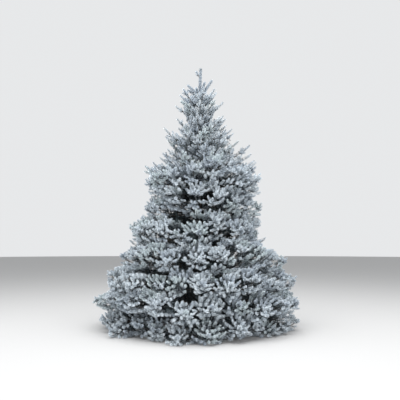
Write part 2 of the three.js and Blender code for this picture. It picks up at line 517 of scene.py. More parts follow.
@dataclass
class Mass:
    """One solid mass of needles, as the space that a part of the crown may fill."""

    node: str  # the solid's name
    tier: int  # its tier, from 1 at the ground
    corners: np.ndarray  # the corners of its triangles
    surface: BVHTree  # the same, for rays
    heading: float  # its middle direction about the trunk, in radians
    half: float  # half the angle that it spans
    rim_share: float = 0.93  # share of the reach beyond which corners belong to the rim
    hub_radius: float = 0.12  # distance from the axis within which they belong to the hub
    start: float = 3.0  # where a ray from outside starts, as a share of the reach
    missed: float = 0.85  # and where it ends if it doesn't meet the mass
    side_slant: float = 0.8  # how squarely a face between two masses looks sideways
    back_slant: float = 0.9  # how squarely a face at the inner end looks inwards

    @classmethod
    def read(cls, node: str, masses_in_tier: int) -> "Mass":
        """Read a mass from its solid.

        Args:
            node: the solid's name.
            masses_in_tier: how many masses share its tier.

        Returns:
            The mass.
        """
        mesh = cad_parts[node].data
        mesh.calc_loop_triangles()
        points = np.array([v.co for v in mesh.vertices])
        faces = [tuple(t.vertices) for t in mesh.loop_triangles]
        middle = points.mean(0)
        return cls(
            node=node,
            tier=int(node.split("_")[1]),
            corners=points[np.array(faces)],
            surface=BVHTree.FromPolygons([Vector(p) for p in points], faces),
            heading=math.atan2(middle[1], middle[0]),
            half=math.pi / masses_in_tier,
        )

    @property
    def places(self) -> np.ndarray:
        """The corners, one in each row."""
        return self.corners.reshape(-1, 3)

    @property
    def rim(self) -> float:
        """The height of the mass's rim: the mean of its outermost corners."""
        outermost = distance_out(self.places) > self.rim_share * self.reach
        return float(self.places[outermost, 2].mean())

    @property
    def reach(self) -> float:
        """The furthest that the mass stands from the trunk."""
        return float(distance_out(self.places).max())

    @property
    def hub(self) -> float:
        """The height where boughs leave the trunk: the middle of the mass's inner end."""
        inner = self.places[distance_out(self.places) < self.hub_radius, 2]
        return float((inner.min() + inner.max()) / 2)

    def rim_point(self, bearing: float, height: float) -> np.ndarray:
        """Find the mass's surface from outside, level with a height.

        Args:
            bearing: the direction about the trunk, in radians.
            height: the height.

        Returns:
            The point.
        """
        outward = heading_of(bearing)
        far = outward * self.start * self.reach + UP * height
        hit = self.surface.ray_cast(Vector(far), Vector(-outward))[0]
        return np.array(hit) if hit else outward * self.missed * self.reach + UP * height

    def samples(
        self, per_square_metre: float, rng: np.random.Generator
    ) -> tuple[np.ndarray, np.ndarray]:
        """Scatter points over the mass, without the faces that part it from its neighbours.

        Args:
            per_square_metre: how many points.
            rng: where their places come from.

        Returns:
            The points, and the surface's outward normals at them.
        """
        edge_a = self.corners[:, 1] - self.corners[:, 0]
        edge_b = self.corners[:, 2] - self.corners[:, 0]
        across = np.cross(edge_a, edge_b)
        area = np.linalg.norm(across, axis=1) / 2
        count = int(area.sum() * per_square_metre)
        face = rng.choice(len(area), count, p=area / area.sum())
        u, v = rng.random(count), rng.random(count)
        fold = u + v > 1
        u, v = np.where(fold, 1 - u, u), np.where(fold, 1 - v, v)
        points = self.corners[face, 0] + u[:, None] * edge_a[face] + v[:, None] * edge_b[face]
        normals = unit(across)[face]
        outward = outward_at(points)
        sideways = np.abs((normals * np.cross(UP, outward)).sum(1))
        outwards = (normals * outward).sum(1)
        open_face = (sideways < self.side_slant) & (outwards > -self.back_slant)
        return points[open_face], normals[open_face]


@dataclass
class Crown:
    """All the masses, and how open to the light a place on them is.

    Rays probe for the light. Each of the probes is a direction in degrees to the side and up.
    """

    masses: list[Mass]
    far: float = 4.0  # where a ray starts that looks for the crown from outside
    ray: float = 1.1  # length of a probing ray
    clear: float = 0.004  # how far off the surface it starts
    probes: tuple[tuple[float, float], ...] = (
        (0.0, 12.0),
        (0.0, 45.0),
        (40.0, 15.0),
        (-40.0, 15.0),
        (0.0, -20.0),
        (0.0, 78.0),
    )

    @classmethod
    def read(cls) -> "Crown":
        """Read every mass of the frame.

        Returns:
            The crown.
        """
        nodes = sorted(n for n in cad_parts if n.startswith("foliage_"))
        tiers = [int(n.split("_")[1]) for n in nodes]
        return cls([Mass.read(n, tiers.count(t)) for n, t in zip(nodes, tiers)])

    def __post_init__(self) -> None:
        """Join the masses' surfaces, for rays."""
        corners = np.concatenate([m.places for m in self.masses])
        faces = np.arange(len(corners)).reshape(-1, 3).tolist()
        self.whole = BVHTree.FromPolygons([Vector(p) for p in corners], faces)

    def reach_at(self, bearing: float, height: float, otherwise: float) -> float:
        """Find how far the crown stands from the trunk.

        Args:
            bearing: the direction about the trunk, in radians.
            height: the height.
            otherwise: the answer where it has a gap.

        Returns:
            The distance.
        """
        outward = heading_of(bearing)
        start = Vector(self.far * outward + UP * height)
        hit = self.whole.ray_cast(start, Vector(-outward))[0]
        return math.hypot(hit.x, hit.y) if hit else otherwise

    def openness(self, points: np.ndarray, normals: np.ndarray) -> np.ndarray:
        """Find the share of the probing rays that leave the crown from each point.

        Args:
            points: places on the masses.
            normals: the surface's normals there.

        Returns:
            The shares.
        """
        free = np.zeros(len(points))
        outward = outward_at(points)
        level = np.cross(UP, outward)
        starts = points + self.clear * normals
        for side, rise in self.probes:
            side, rise = math.radians(side), math.radians(rise)
            flat = math.cos(side) * outward + math.sin(side) * level
            ways = math.cos(rise) * flat + math.sin(rise) * UP
            for i, (start, way) in enumerate(zip(starts, ways)):
                if self.whole.ray_cast(Vector(start), Vector(way), self.ray)[0] is None:
                    free[i] += 1
        return free / len(self.probes)


@dataclass
class Limb:
    """A bough as a line of points, from the trunk to its tip."""

    points: np.ndarray  # the line
    radii: np.ndarray  # its radius at each
    lift: float = 0.0  # how much higher than usual its tip is
    give: float = 20.0  # degrees off its angle that cost a fork as much as being long
    bare: float = 100.0  # what a fork costs more on the stretch that carries none

    @property
    def bearing(self) -> float:
        """The tip's direction about the trunk, in radians."""
        return math.atan2(self.points[-1, 1], self.points[-1, 0])

    @property
    def directions(self) -> np.ndarray:
        """The unit direction of growth at each point."""
        return unit(np.gradient(self.points, axis=0))

    def fork(self, target: np.ndarray, angle: float, longest: float, first: float = 0.15) -> int:
        """Choose the point where a side stem to a target leaves the limb.

        Args:
            target: where the side stem ends.
            angle: degrees that it would like to make with the limb.
            longest: the length at which it is thought long.
            first: the share of the limb, from the trunk, that carries none.

        Returns:
            The number of the point.
        """
        away = target - self.points
        far = np.linalg.norm(away, axis=1)
        cosine = (unit(away) * self.directions).sum(1).clip(-1, 1)
        missed = (np.degrees(np.arccos(cosine)) - angle) / self.give
        cost = missed**2 + (far / longest) ** 2
        cost[: int(first * len(cost))] += self.bare
        return int(cost.argmin())


def solid_rings(node: str, along: np.ndarray, gap: float) -> tuple[np.ndarray, np.ndarray]:
    """Read the rings of a limb's solid.

    Args:
        node: the solid's name.
        along: the direction that it runs in.
        gap: a step along it that parts two rings.

    Returns:
        The centre of each ring, and its mean radius.
    """
    points = np.unique(np.round([v.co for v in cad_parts[node].data.vertices], 6), axis=0)
    place = points @ along
    order = place.argsort()
    cuts = np.nonzero(np.diff(place[order]) > gap)[0] + 1
    rings = [points[part] for part in np.split(order, cuts)]
    centres = np.array([ring.mean(0) for ring in rings])
    radii = [np.linalg.norm(ring - centre, axis=1).mean() for ring, centre in zip(rings, centres)]
    return centres, np.array(radii)


@dataclass(frozen=True)
class Hollow:
    """A dark gap between the fans, where no young shoots come to the surface."""

    bearing: float  # degrees to the right of the front, as the camera sees it
    height: float  # of its middle
    wide: float  # from side to side
    high: float  # from top to bottom

    def holds(self, points: np.ndarray) -> np.ndarray:
        """Say which points are inside it.

        Args:
            points: places on the crown.

        Returns:
            A true or false for each.
        """
        bearing = np.arctan2(points[:, 1], points[:, 0]) - math.radians(self.bearing - 90)
        across = 2 * half_turn(bearing) * distance_out(points) / self.wide
        up = 2 * (points[:, 2] - self.height) / self.high
        return across**2 + up**2 < 1


FRONT_HOLLOWS = [
    Hollow(-38.5, 0.62, 0.24, 0.10),
    Hollow(-28.0, 0.85, 0.32, 0.11),
    Hollow(-9.5, 1.16, 0.20, 0.09),
    Hollow(10.6, 1.11, 0.27, 0.09),
    Hollow(-11.5, 1.48, 0.27, 0.07),
    Hollow(-20.6, 1.90, 0.22, 0.12),
    Hollow(-21.9, 2.40, 0.30, 0.15),
    Hollow(-4.0, 1.66, 0.19, 0.07),
    Hollow(26.0, 1.46, 0.22, 0.09),
    Hollow(-7.5, 0.76, 0.24, 0.10),
    Hollow(30.0, 0.66, 0.16, 0.09),
    Hollow(8.0, 0.42, 0.18, 0.10),
    Hollow(-6.5, 0.36, 0.14, 0.08),
    Hollow(14.0, 2.40, 0.26, 0.13),
    Hollow(6.0, 2.68, 0.20, 0.11),
    Hollow(32.0, 2.32, 0.18, 0.09),
]


@dataclass(frozen=True)
class SideHollows:
    """Hollows scattered over the sides that the front view doesn't show."""

    count: int = 34
    bearings: tuple[float, float] = (50.0, 310.0)  # degrees to the right of the front
    lowest: float = 0.35
    spread: float = 2.7  # of their heights over the lowest, with fewer towards the top
    wide: tuple[float, float] = (0.2, 0.38)
    high: tuple[float, float] = (0.12, 0.2)

    def scatter(self, rng: np.random.Generator) -> list[Hollow]:
        """Place the hollows.

        Args:
            rng: where their places and sizes come from.

        Returns:
            The hollows.
        """
        bearings = rng.uniform(*self.bearings, self.count)
        heights = self.lowest + self.spread * (1 - np.sqrt(rng.random(self.count)))
        return [
            Hollow(float(b), float(h), rng.uniform(*self.wide), rng.uniform(*self.high))
            for b, h in zip(bearings, heights)
        ]


@dataclass(frozen=True)
class Habit:
    """How one tier of the crown grows. All but the first four are for a leafy tier."""

    rise: float  # degrees that shoots at the rim point above the level
    shoot: float  # length of this year's growth
    needle: float  # size of the needles, as a share of the usual
    fans: int = 5  # boughs to a mass, each with a fan of sprays
    lead: float = 0.0  # length of a bough's own leading shoot
    proud: float = 0.0  # how far the leading shoot of a spray stands out of the mass
    wide: float = 0.0  # room that a spray takes from side to side
    high: float = 0.0  # room that it takes up and down
    spacing: float = 0.0  # room between shoots
    between: int = 0  # small boughs on the trunk under the whorl


HABITS = {
    1: Habit(48, 0.094, 0.92, 5, 0.08, 0.01, 0.34, 0.20, 0.057, 12),
    2: Habit(50, 0.094, 0.92, 5, 0.09, 0.01, 0.34, 0.20, 0.057, 32),
    3: Habit(52, 0.096, 0.92, 5, 0.12, 0.02, 0.34, 0.20, 0.057, 32),
    4: Habit(52, 0.102, 0.92, 5, 0.10, 0.01, 0.33, 0.20, 0.057, 32),
    5: Habit(52, 0.116, 0.95, 5, 0.12, 0.01, 0.32, 0.20, 0.060, 32),
    6: Habit(52, 0.135, 0.98, 5, 0.14, 0.02, 0.31, 0.21, 0.065, 30),
    7: Habit(52, 0.150, 1.0, 5, 0.19, 0.04, 0.29, 0.23, 0.067, 28),
    8: Habit(50, 0.160, 0.95),
    9: Habit(50, 0.160, 0.93, 4),
    10: Habit(50, 0.180, 0.93),
    11: Habit(50, 0.200, 1.04),
}


@dataclass(frozen=True)
class OpenWhorl:
    """A ring of young boughs round the slender top of the trunk."""

    foot: float  # height of their feet
    tip: float  # height of their tips
    reach: float  # how far their tips stand from the trunk
    count: int  # how many boughs
    turn: float  # degrees to the right of the front of the first, as the camera sees it
    pairs: float  # side shoots to a metre, in threes
    aside: float = 0.0  # how much further it reaches to the right than at the front


OPEN_WHORLS = {
    8: (
        OpenWhorl(2.68, 2.95, 1.02, 11, 2, 5.5, 0.04),
        OpenWhorl(2.82, 3.12, 0.97, 10, 18, 6.0, 0.07),
        OpenWhorl(2.95, 3.29, 0.88, 10, 35, 6.0, 0.14),
        OpenWhorl(3.06, 3.42, 0.74, 9, 5, 6.5, 0.08),
        OpenWhorl(3.17, 3.54, 0.58, 8, 30, 6.5, 0.03),
    ),
    9: (
        OpenWhorl(3.30, 3.58, 0.69, 10, 12, 7.5, -0.09),
        OpenWhorl(3.40, 3.72, 0.52, 9, 30, 8.0, 0.09),
        OpenWhorl(3.52, 3.84, 0.50, 9, 5, 8.5, 0.05),
        OpenWhorl(3.62, 3.94, 0.32, 8, 20, 9.0, 0.03),
    ),
    10: (OpenWhorl(3.74, 4.06, 0.33, 9, 12, 9.0), OpenWhorl(3.87, 4.17, 0.45, 8, 90, 7.0)),
    11: (OpenWhorl(4.01, 4.38, 0.41, 8, 92, 5.5, -0.04), OpenWhorl(4.08, 4.33, 0.19, 7, 60, 7.0)),
}


@dataclass(frozen=True)
class TintOdds:
    """The odds by which sprays are dealt the first four tints, in the light and below it, as painted
    light.
    """

    bright: float = 0.55  # the openness over which a spray counts as lit
    lit: tuple[float, ...] = (0.26, 0.38, 0.20, 0.16)
    dim: tuple[float, ...] = (0.14, 0.38, 0.31, 0.17)

    def deal(self, light: float, rng: np.random.Generator) -> Tint:
        """Deal a spray its tint: the more light it has, the more silvery, as painted light.

        Args:
            light: how open its place is.
            rng: where the choice comes from.

        Returns:
            The tint.
        """
        odds = self.lit if light > self.bright else self.dim
        return Tint(int(rng.choice(len(odds), p=odds)))


# In the rules that follow, radii are at a stem's foot and at its tip, a stray is how far chance
# moves something, and lengths are the range by which chance scales a length. Clothed is the
# length that bears needles, from the tip back.


@dataclass(frozen=True)
class SideShoots:
    """The side shoots of a young bough, in threes: two to the sides and one on top."""

    light: tuple[float, float] = (0.3, 0.8)  # openness, drawn by chance, by which their tint is dealt as painted light
    last: float = 0.85  # share of the bough where the last three stand
    over: float = 0.1  # how far up the two at the sides lean
    top: float = 0.7  # and the one on top
    top_stray: float = 0.3
    stray: float = 0.08
    aside: float = 0.9  # how strongly they turn from the bough
    share: float = 0.42  # their length, as a share of the bough beyond their foot
    longest: float = 0.24  # the most that this share comes to
    least: float = 0.05  # what is added to it
    lengths: tuple[float, float] = (0.75, 1.0)
    bend: float = 0.12  # how strongly their tips turn up
    young: float = 0.16  # length of this year's growth
    radii: tuple[float, float] = (0.003, 0.0018)
    bough_radii: tuple[float, float] = (0.004, 0.002)
    thickly: float = 0.85  # how closely needles stand, on them and on the bough


@dataclass(frozen=True)
class ShadedTwigs:
    """The shaded twigs inside the crown, alternately to left and right along a bough."""

    longest: float
    gap: float = 0.065  # from one to the next along the bough
    between: tuple[float, float] = (0.06, 0.92)  # shares of the bough where they stand
    rolls: tuple[float, float] = (-1.3, 1.4)  # radians up from the level
    least: float = 0.15  # length where one has no room
    room: float = 0.8  # share that one takes of the room to the next bough
    lengths: tuple[float, float] = (0.8, 1.15)
    along: float = 0.62  # how strongly one follows the bough
    aside: float = 0.8  # and how strongly it turns from it
    bend: float = 0.4  # how strongly its tip turns back to the bough's direction
    radii: tuple[float, float] = (0.0032, 0.0016)
    clothed: float = 0.9  # share of it that bears needles
    inside: float = 0.10  # how far inside the bough's tip they end


@dataclass(kw_only=True)
class TierGrowth:
    """What every tier grows: boughs as smooth curves, with young shoots and shaded twigs on them."""

    tier: int  # the tier's number, from 1 at the ground
    masses: list[Mass]  # its masses
    shaded: ShadedTwigs  # the rule of its shaded twigs
    still_blue: float  # the share of needles on older wood that keep their bloom
    has_buds: bool  # whether its buds show
    limbs: list[Limb] = field(default_factory=list)  # the boughs, once grown
    stems: Stems = field(default_factory=Stems)  # everything finer, once grown
    odds: TintOdds = TintOdds()
    side_shoots: SideShoots = SideShoots()
    bough_points: int = 14
    bough_tip: float = 0.0035  # radius
    lowest: float = 0.04  # height of a bough, and of a shoot's tip

    def __post_init__(self) -> None:
        """Look up the tier's habit and start its random draws."""
        self.habit = HABITS[self.tier]
        self.rng = np.random.default_rng(SEED + self.tier)

    def tip_direction(self, bearing: float) -> np.ndarray:
        """Return the direction of a bough's last growth, at a bearing in radians."""
        rise = math.radians(self.habit.rise)
        return math.cos(rise) * heading_of(bearing) + math.sin(rise) * UP

    def reach_for(
        self,
        start: np.ndarray,
        target: np.ndarray,
        leave: np.ndarray,
        bearing: float,
        thick: float,
        lift: float = 0.0,
    ) -> Limb:
        """Draw a bough as one smooth tapering curve.

        Args:
            start: where it begins.
            target: its tip.
            leave: its unit direction at the start.
            bearing: its direction about the trunk, in radians.
            thick: its radius at the start.
            lift: how much higher than usual its tip is.

        Returns:
            The bough.
        """
        length = np.linalg.norm(target - start)
        share = np.linspace(0, 1, self.bough_points)
        leave = unit(leave + unit(target - start)) * length
        points, _ = smooth_curve(start, leave, target, self.tip_direction(bearing) * length, share)
        points[:, 2] = np.maximum(points[:, 2], self.lowest)
        return Limb(points, thick + (self.bough_tip - thick) * share, lift)

    def turn_off(
        self, along: np.ndarray, side: float, over: float, stray: float, aside: float
    ) -> np.ndarray:
        """Turn from a direction of growth to one side and up.

        Args:
            along: the direction.
            side: how far to the side.
            over: how far up.
            stray: how much chance adds.
            aside: how strongly it turns.

        Returns:
            The new direction, at no particular length.
        """
        level, above = sideways_and_up(along)
        off = unit(side * level + over * above + self.rng.normal(0, stray, 3))
        return along + aside * off

    def clothe_bough(
        self, limb: Limb, pairs: float, first: float = 0.15, lift: float = 0.0
    ) -> None:
        """Set needles on a young bough, and threes of side shoots along it.

        Args:
            limb: the bough.
            pairs: side shoots to a metre, in threes.
            first: how far along the bough they begin.
            lift: how strongly they turn up.
        """
        rng, rule = self.rng, self.side_shoots
        # painted light: the tint is dealt by an openness drawn by chance
        tint = self.odds.deal(rng.uniform(*rule.light), rng)
        points, directions = limb.points, limb.directions
        whole = float(np.linalg.norm(points[-1] - points[0]))
        curve = (points[0], directions[0], points[-1], directions[-1])
        clothed = rule.last * (1 - first) * whole
        young = self.habit.shoot
        self.stems.add(*curve, rule.bough_radii, young, clothed, tint, rule.thickly)
        stations = round(pairs * whole * (1 - first))
        for number in range(stations):
            share = first + (rule.last - first) * (number + rng.random()) / stations
            at = int(share * (len(points) - 1))
            foot, room = points[at], (1 - share) * whole
            around = ((1.0, rule.over), (-1.0, rule.over), (rng.normal(0, rule.top_stray), rule.top))
            for side, over in around:
                off = self.turn_off(directions[at], side, over, rule.stray, rule.aside)
                off = unit(off + lift * UP)
                long = min(rule.share * room, rule.longest) + rule.least
                end = foot + long * rng.uniform(*rule.lengths) * off
                arrive = unit(off + rule.bend * UP)
                shape = (foot, off, end, arrive, rule.radii)
                self.stems.add(*shape, rule.young, WHOLE, tint, rule.thickly)

    def grow_shaded(self, limb: Limb) -> None:
        """Grow the shaded twigs along a bough.

        Args:
            limb: the bough.
        """
        rule = self.shaded
        steps = np.linalg.norm(np.diff(limb.points, axis=0), axis=1)
        travel = np.concatenate(((0.0,), np.cumsum(steps)))
        first, last = (share * travel[-1] for share in rule.between)
        furthest = distance_out(limb.points[-1]) - rule.inside
        directions = limb.directions
        side = 1.0
        for place in np.arange(first, last, rule.gap):
            start = np.array([np.interp(place, travel, limb.points[:, i]) for i in range(3)])
            along = directions[int(np.searchsorted(travel, place)) - 1]
            level, above = sideways_and_up(along)
            roll = self.rng.uniform(*rule.rolls)
            aside = side * math.cos(roll) * level + math.sin(roll) * above
            room = distance_out(start) * self.masses[0].half / self.habit.fans
            long = min(rule.longest, rule.least + rule.room * room) * self.rng.uniform(*rule.lengths)
            way = unit(rule.along * along + rule.aside * aside)
            end = start + long * way
            end[2] = max(end[2], self.lowest)
            if distance_out(end) > furthest:
                break
            # painted shade: these twigs' needles are near-black, more often so nearer the trunk
            deep = self.rng.random() > place / travel[-1]
            tint = Tint.DEEP if deep else Tint.AGED
            arrive = unit(way + rule.bend * along)
            self.stems.add(start, way, end, arrive, rule.radii, 0.0, rule.clothed * long, tint)
            side = -side


@dataclass(kw_only=True)
class OpenTier(TierGrowth):
    """A tier near the top: rings of nearly straight young boughs, with sky between them."""

    shaded: ShadedTwigs = ShadedTwigs(longest=0.17)
    still_blue: float = 0.8
    has_buds: bool = True
    bearing_stray: float = 6.0  # degrees
    height_stray: float = 0.03  # of a bough's foot and of its tip
    reaches: tuple[float, float] = (0.82, 1.06)  # shares of the ring's reach
    sag: float = 0.15  # how strongly they leave the trunk downwards
    thick: float = 0.006
    shaded_from: float = 0.62  # the reach from which a ring has shaded twigs

    def grow(self) -> None:
        """Grow every ring of the tier."""
        for whorl in OPEN_WHORLS[self.tier]:
            self.grow_whorl(whorl)

    def grow_whorl(self, whorl: OpenWhorl) -> None:
        """Grow a ring of young boughs, each with side shoots.

        Args:
            whorl: the ring.
        """
        rng = self.rng
        for number in range(whorl.count):
            turn = whorl.turn - 90 + 360 * number / whorl.count
            bearing = math.radians(turn + rng.normal(0, self.bearing_stray))
            outward = heading_of(bearing)
            start = (whorl.foot + rng.normal(0, self.height_stray)) * UP
            reach = (whorl.reach + whorl.aside * outward[0]) * rng.uniform(*self.reaches)
            end = reach * outward + (whorl.tip + rng.normal(0, self.height_stray)) * UP
            leave = unit(unit(end - start) - self.sag * UP)
            limb = self.reach_for(start, end, leave, bearing, self.thick)
            self.limbs.append(limb)
            self.clothe_bough(limb, whorl.pairs)
            if whorl.reach > self.shaded_from:
                self.grow_shaded(limb)


@dataclass(frozen=True)
class LeadShoots:
    """A bough's leading shoot, and the side shoots about its foot."""

    clear: float = 0.05  # how far beyond the bough's tip no hollow may be
    lengths: tuple[float, float] = (0.8, 1.1)
    joint: int = 4  # the point of the bough where it joins on, from the tip back
    clothed: float = 0.45
    radii: tuple[float, float] = (0.004, 0.002)
    around: tuple[tuple[float, float], ...] = ((1.0, 0.15), (-1.0, 0.15), (0.35, 0.9), (-0.4, -0.75))
    stray: float = 0.12
    aside: float = 0.65  # how strongly side shoots turn from the leading one
    share: float = 0.55  # their least length, as a share of its length
    more: float = 0.2  # the most that chance adds to that
    bend: float = 0.5  # how strongly their tips turn back to its direction
    side_radii: tuple[float, float] = (0.003, 0.0018)


@dataclass(frozen=True)
class SmallBoughs:
    """The small boughs that grow on the trunk under a whorl, in the shade or out to the light."""

    bearing_stray: float = 0.2  # radians
    shaded_every: int = 3  # one in so many stays in the shade
    feet: tuple[float, float] = (-0.24, 0.04)  # heights of their feet over the whorl's
    least_foot: float = 0.08
    rise: float = 0.10  # the most that a shaded one rises
    share: float = 0.62  # its reach, as a share of the masses'
    lengths: tuple[float, float] = (0.75, 1.1)
    under_rim: tuple[float, float] = (0.06, 0.26)  # depths of a lit one's tip under the rim
    least_tip: float = 0.12
    about: float = 0.12  # how far over and under that tip the crown's reach is taken
    short: float = 0.08  # the most that a lit one ends short of it
    least: float = 0.45
    arch: float = 0.1  # how strongly they leave the trunk upwards
    thick: float = 0.008
    leafy: float = 0.36  # length of a lit one's end that bears side shoots
    pairs: float = 8.0  # side shoots to a metre there, in threes
    lift: float = 0.4  # how strongly those turn up


@dataclass(frozen=True)
class Sprays:
    """The sprays that cover a mass: each is an axis off a bough, with shoots on it."""

    per_square_metre: float = 850.0  # places that are tried as ends of shoots
    hidden: float = 0.15  # the openness below which a place bears no young shoots
    light_first: float = 0.15  # how far full light brings a place forward in their order
    mixed: float = 0.05  # how much chance mixes that order
    shade_room: float = 1.2  # room of a shoot in full shade, as a share of the usual
    upright: float = 1.45  # how much more room a shoot takes up and down than across
    pull: float = 0.35  # how strongly growth follows the surface's normal
    under_pull: float = 0.1  # and where that points down
    stray: float = 0.13
    axis_angle: float = 48.0  # degrees between an axis and its bough
    axis_long: float = 0.7  # the length at which an axis is thought long
    axis_radii: tuple[float, float] = (0.0042, 0.0018)
    axis_clothed: float = 0.3
    axis_shares: tuple[float, float] = (0.2, 0.97)  # the stretch of it that carries shoots
    axis_points: int = 12
    arch: float = 0.1  # how strongly it leaves its bough upwards
    straight: float = 0.6  # how far a stem's foot points its own way, not its parent's
    too_near: float = 0.045  # to the axis's tip, for the tip of a shoot
    follow: float = 0.5  # how strongly shoots follow the axis's tip
    sink: float = 0.01  # how far a shoot's tip is drawn back from the surface
    edge_sink: float = 0.06  # what is added at the spray's edge
    low_sink: float = 0.04  # and at its underside
    widest: float = 1.2  # share of the spray's room up to which the edge counts
    least_angle: float = 20.0  # degrees between a shoot and the axis
    most_angle: float = 54.0
    rise_share: float = 0.5  # what the habit's rise takes off the most
    shoot_long: float = 0.28  # the length at which a shoot is thought long
    droop: float = -0.35  # how steeply down a shoot may hang, as the sine of its angle
    bough_angle: float = 20.0  # degrees between its bough and one that would hang more steeply
    bough_long: float = 2.0  # the length at which such a shoot is thought long
    lengths: tuple[float, float] = (0.75, 1.1)
    keep: float = 1.3  # how strongly a shoot's tip keeps its straight way
    turned: float = 0.9  # how much less so where that agrees with its own direction
    shoot_radii: tuple[float, float] = (0.0022, 0.0014)
    shoot_clothed: float = 0.22


@dataclass(frozen=True)
class Places:
    """Places on a mass where shoots may end, with its normals there and how open they are."""

    points: np.ndarray
    normals: np.ndarray
    light: np.ndarray

    def pick(self, which: np.ndarray | list[int] | int) -> "Places":
        """Return only the places that are numbered or marked true."""
        return Places(self.points[which], self.normals[which], self.light[which])


@dataclass(kw_only=True)
class LeafyTier(TierGrowth):
    """A tier of the lower crown: boughs with fans of sprays, which fill its masses.

    Attributes:
        crown: the whole crown, for the light.
        hollows: the gaps that stay open.
        pockets: more gaps, under the fans of the mass that is growing.
    """

    crown: Crown
    hollows: list[Hollow]
    shaded: ShadedTwigs = ShadedTwigs(longest=0.34)
    still_blue: float = 0.45
    has_buds: bool = False
    pockets: list[Hollow] = field(default_factory=list)
    lead: LeadShoots = LeadShoots()
    small: SmallBoughs = SmallBoughs()
    sprays: Sprays = Sprays()
    bearing_stray: float = 0.12  # as a share of half a fan
    lifts: tuple[float, float] = (0.065, 0.01)  # of a fan at most, and what each tier adds
    taper: float = 0.5  # how much a fan draws in for each metre that it is lifted
    valley: float = 0.045  # depth of the valleys between fans, as a share of the reach
    valley_edge: float = 1.2  # share of half a fan where a valley is deepest
    over_rim: float = 0.02  # how far over the rim a bough aims
    inside: float = 0.06  # how far inside the rim its tip stays
    root: float = 0.06  # how deep a main bough starts inside the trunk
    ring_gap: float = 0.05  # the least step between the rings of its solid
    on_points: int = 11  # along it beyond its solid
    main_tip: float = 0.004  # radius
    side_angle: float = 40.0  # degrees between a side bough and the main one
    side_long: float = 4.0  # the length at which a side bough is thought long
    side_first: float = 0.2  # share of the main bough that carries none
    side_thick: float = 0.7  # radius, as a share of the main bough's there
    hub_stray: float = 0.035
    thick: tuple[float, float] = (0.006, 0.011)  # radius at the trunk, and per metre of bough
    arch: float = 0.25  # how strongly boughs leave the trunk upwards
    pocket_odds: float = 0.4  # share of boughs with a pocket under their fan
    pocket_stray: float = 3.0  # degrees
    pocket_drop: tuple[float, float] = (0.08, 0.15)  # under the bough's tip
    pocket_wide: tuple[float, float] = (0.12, 0.40)
    pocket_high: tuple[float, float] = (0.05, 0.09)

    def grow(self) -> None:
        """Grow every mass of the tier, and what stands between it and the next one down."""
        for mass in self.masses:
            limbs = self.grow_boughs(mass)
            self.limbs += limbs
            shaded = (limb for limb in limbs if self.rng.random() < self.pocket_odds)
            self.pockets = [self.pocket_under(limb) for limb in shaded]
            for limb in limbs:
                self.grow_lead(limb)
                self.grow_shaded(limb)
            self.grow_sprays(mass, limbs)
        self.grow_between()

    def grow_boughs(self, mass: Mass) -> list[Limb]:
        """Grow the boughs of a mass, on from its solid bough or else from the trunk.

        Args:
            mass: the mass.

        Returns:
            Its boughs.
        """
        node = mass.node.replace("foliage", "bough")
        count = self.habit.fans
        fans = (np.arange(count) - (count - 1) / 2) / count * 2 * mass.half
        strays = self.rng.normal(0, self.bearing_stray * mass.half / count, count)
        bearings = mass.heading + fans + strays
        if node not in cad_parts:
            return [self.bough_from_trunk(mass, bearing) for bearing in bearings]
        main = self.main_bough(mass, node)
        sides = [bearing for i, bearing in enumerate(bearings) if i != count // 2]
        return [main, *(self.bough_from_bough(mass, bearing, main) for bearing in sides)]

    def rim_target(self, mass: Mass, bearing: float) -> tuple[np.ndarray, float]:
        """Choose where a bough's tip comes to.

        Args:
            mass: the mass that it grows in.
            bearing: its direction about the trunk.

        Returns:
            A place a little inside the rim, and how much higher than usual it is.
        """
        most, step = self.lifts
        lift = float(self.rng.uniform(-1, 1)) * (most + step * self.tier)
        rim = mass.rim_point(bearing, mass.rim + self.over_rim)
        return rim - (self.inside + self.taper * lift) * heading_of(bearing) + lift * UP, lift

    def main_bough(self, mass: Mass, node: str) -> Limb:
        """Follow a solid bough and go on from its end to the rim.

        Args:
            mass: the mass that it grows in.
            node: the solid's name.

        Returns:
            The bough.
        """
        centres, radii = solid_rings(node, heading_of(mass.heading), self.ring_gap)
        target, lift = self.rim_target(mass, mass.heading)
        length = np.linalg.norm(target - centres[-1])
        share = np.linspace(0, 1, self.on_points + 1)[1:]
        leave = unit(centres[-1] - centres[-2]) * length
        arrive = self.tip_direction(mass.heading) * length
        on, _ = smooth_curve(centres[-1], leave, target, arrive, share)
        root = centres[0] - self.root * unit(centres[1] - centres[0])
        points = np.concatenate((root[None], centres, on))
        thin = radii[-1] + (self.main_tip - radii[-1]) * share
        return Limb(points, np.concatenate((radii[:1], radii, thin)), lift)

    def bough_from_bough(self, mass: Mass, bearing: float, main: Limb) -> Limb:
        """Grow a side bough out of the main one, towards the rim.

        Args:
            mass: the mass that it grows in.
            bearing: its direction about the trunk.
            main: the main bough.

        Returns:
            The side bough.
        """
        target, lift = self.rim_target(mass, bearing)
        at = main.fork(target, self.side_angle, self.side_long, self.side_first)
        thick = self.side_thick * main.radii[at]
        return self.reach_for(main.points[at], target, main.directions[at], bearing, thick, lift)

    def bough_from_trunk(self, mass: Mass, bearing: float) -> Limb:
        """Grow a bough out of the trunk, towards the rim.

        Args:
            mass: the mass that it grows in.
            bearing: its direction about the trunk.

        Returns:
            The bough.
        """
        target, lift = self.rim_target(mass, bearing)
        start = UP * (mass.hub + self.rng.normal(0, self.hub_stray))
        thick = self.thick[0] + self.thick[1] * np.linalg.norm(target - start)
        steep = unit(unit(target - start) + self.arch * UP)
        return self.reach_for(start, target, steep, bearing, thick, lift)

    def is_hollow(self, points: np.ndarray) -> np.ndarray:
        """Say which points are in a hollow."""
        return np.any([hollow.holds(points) for hollow in self.hollows + self.pockets], axis=0)

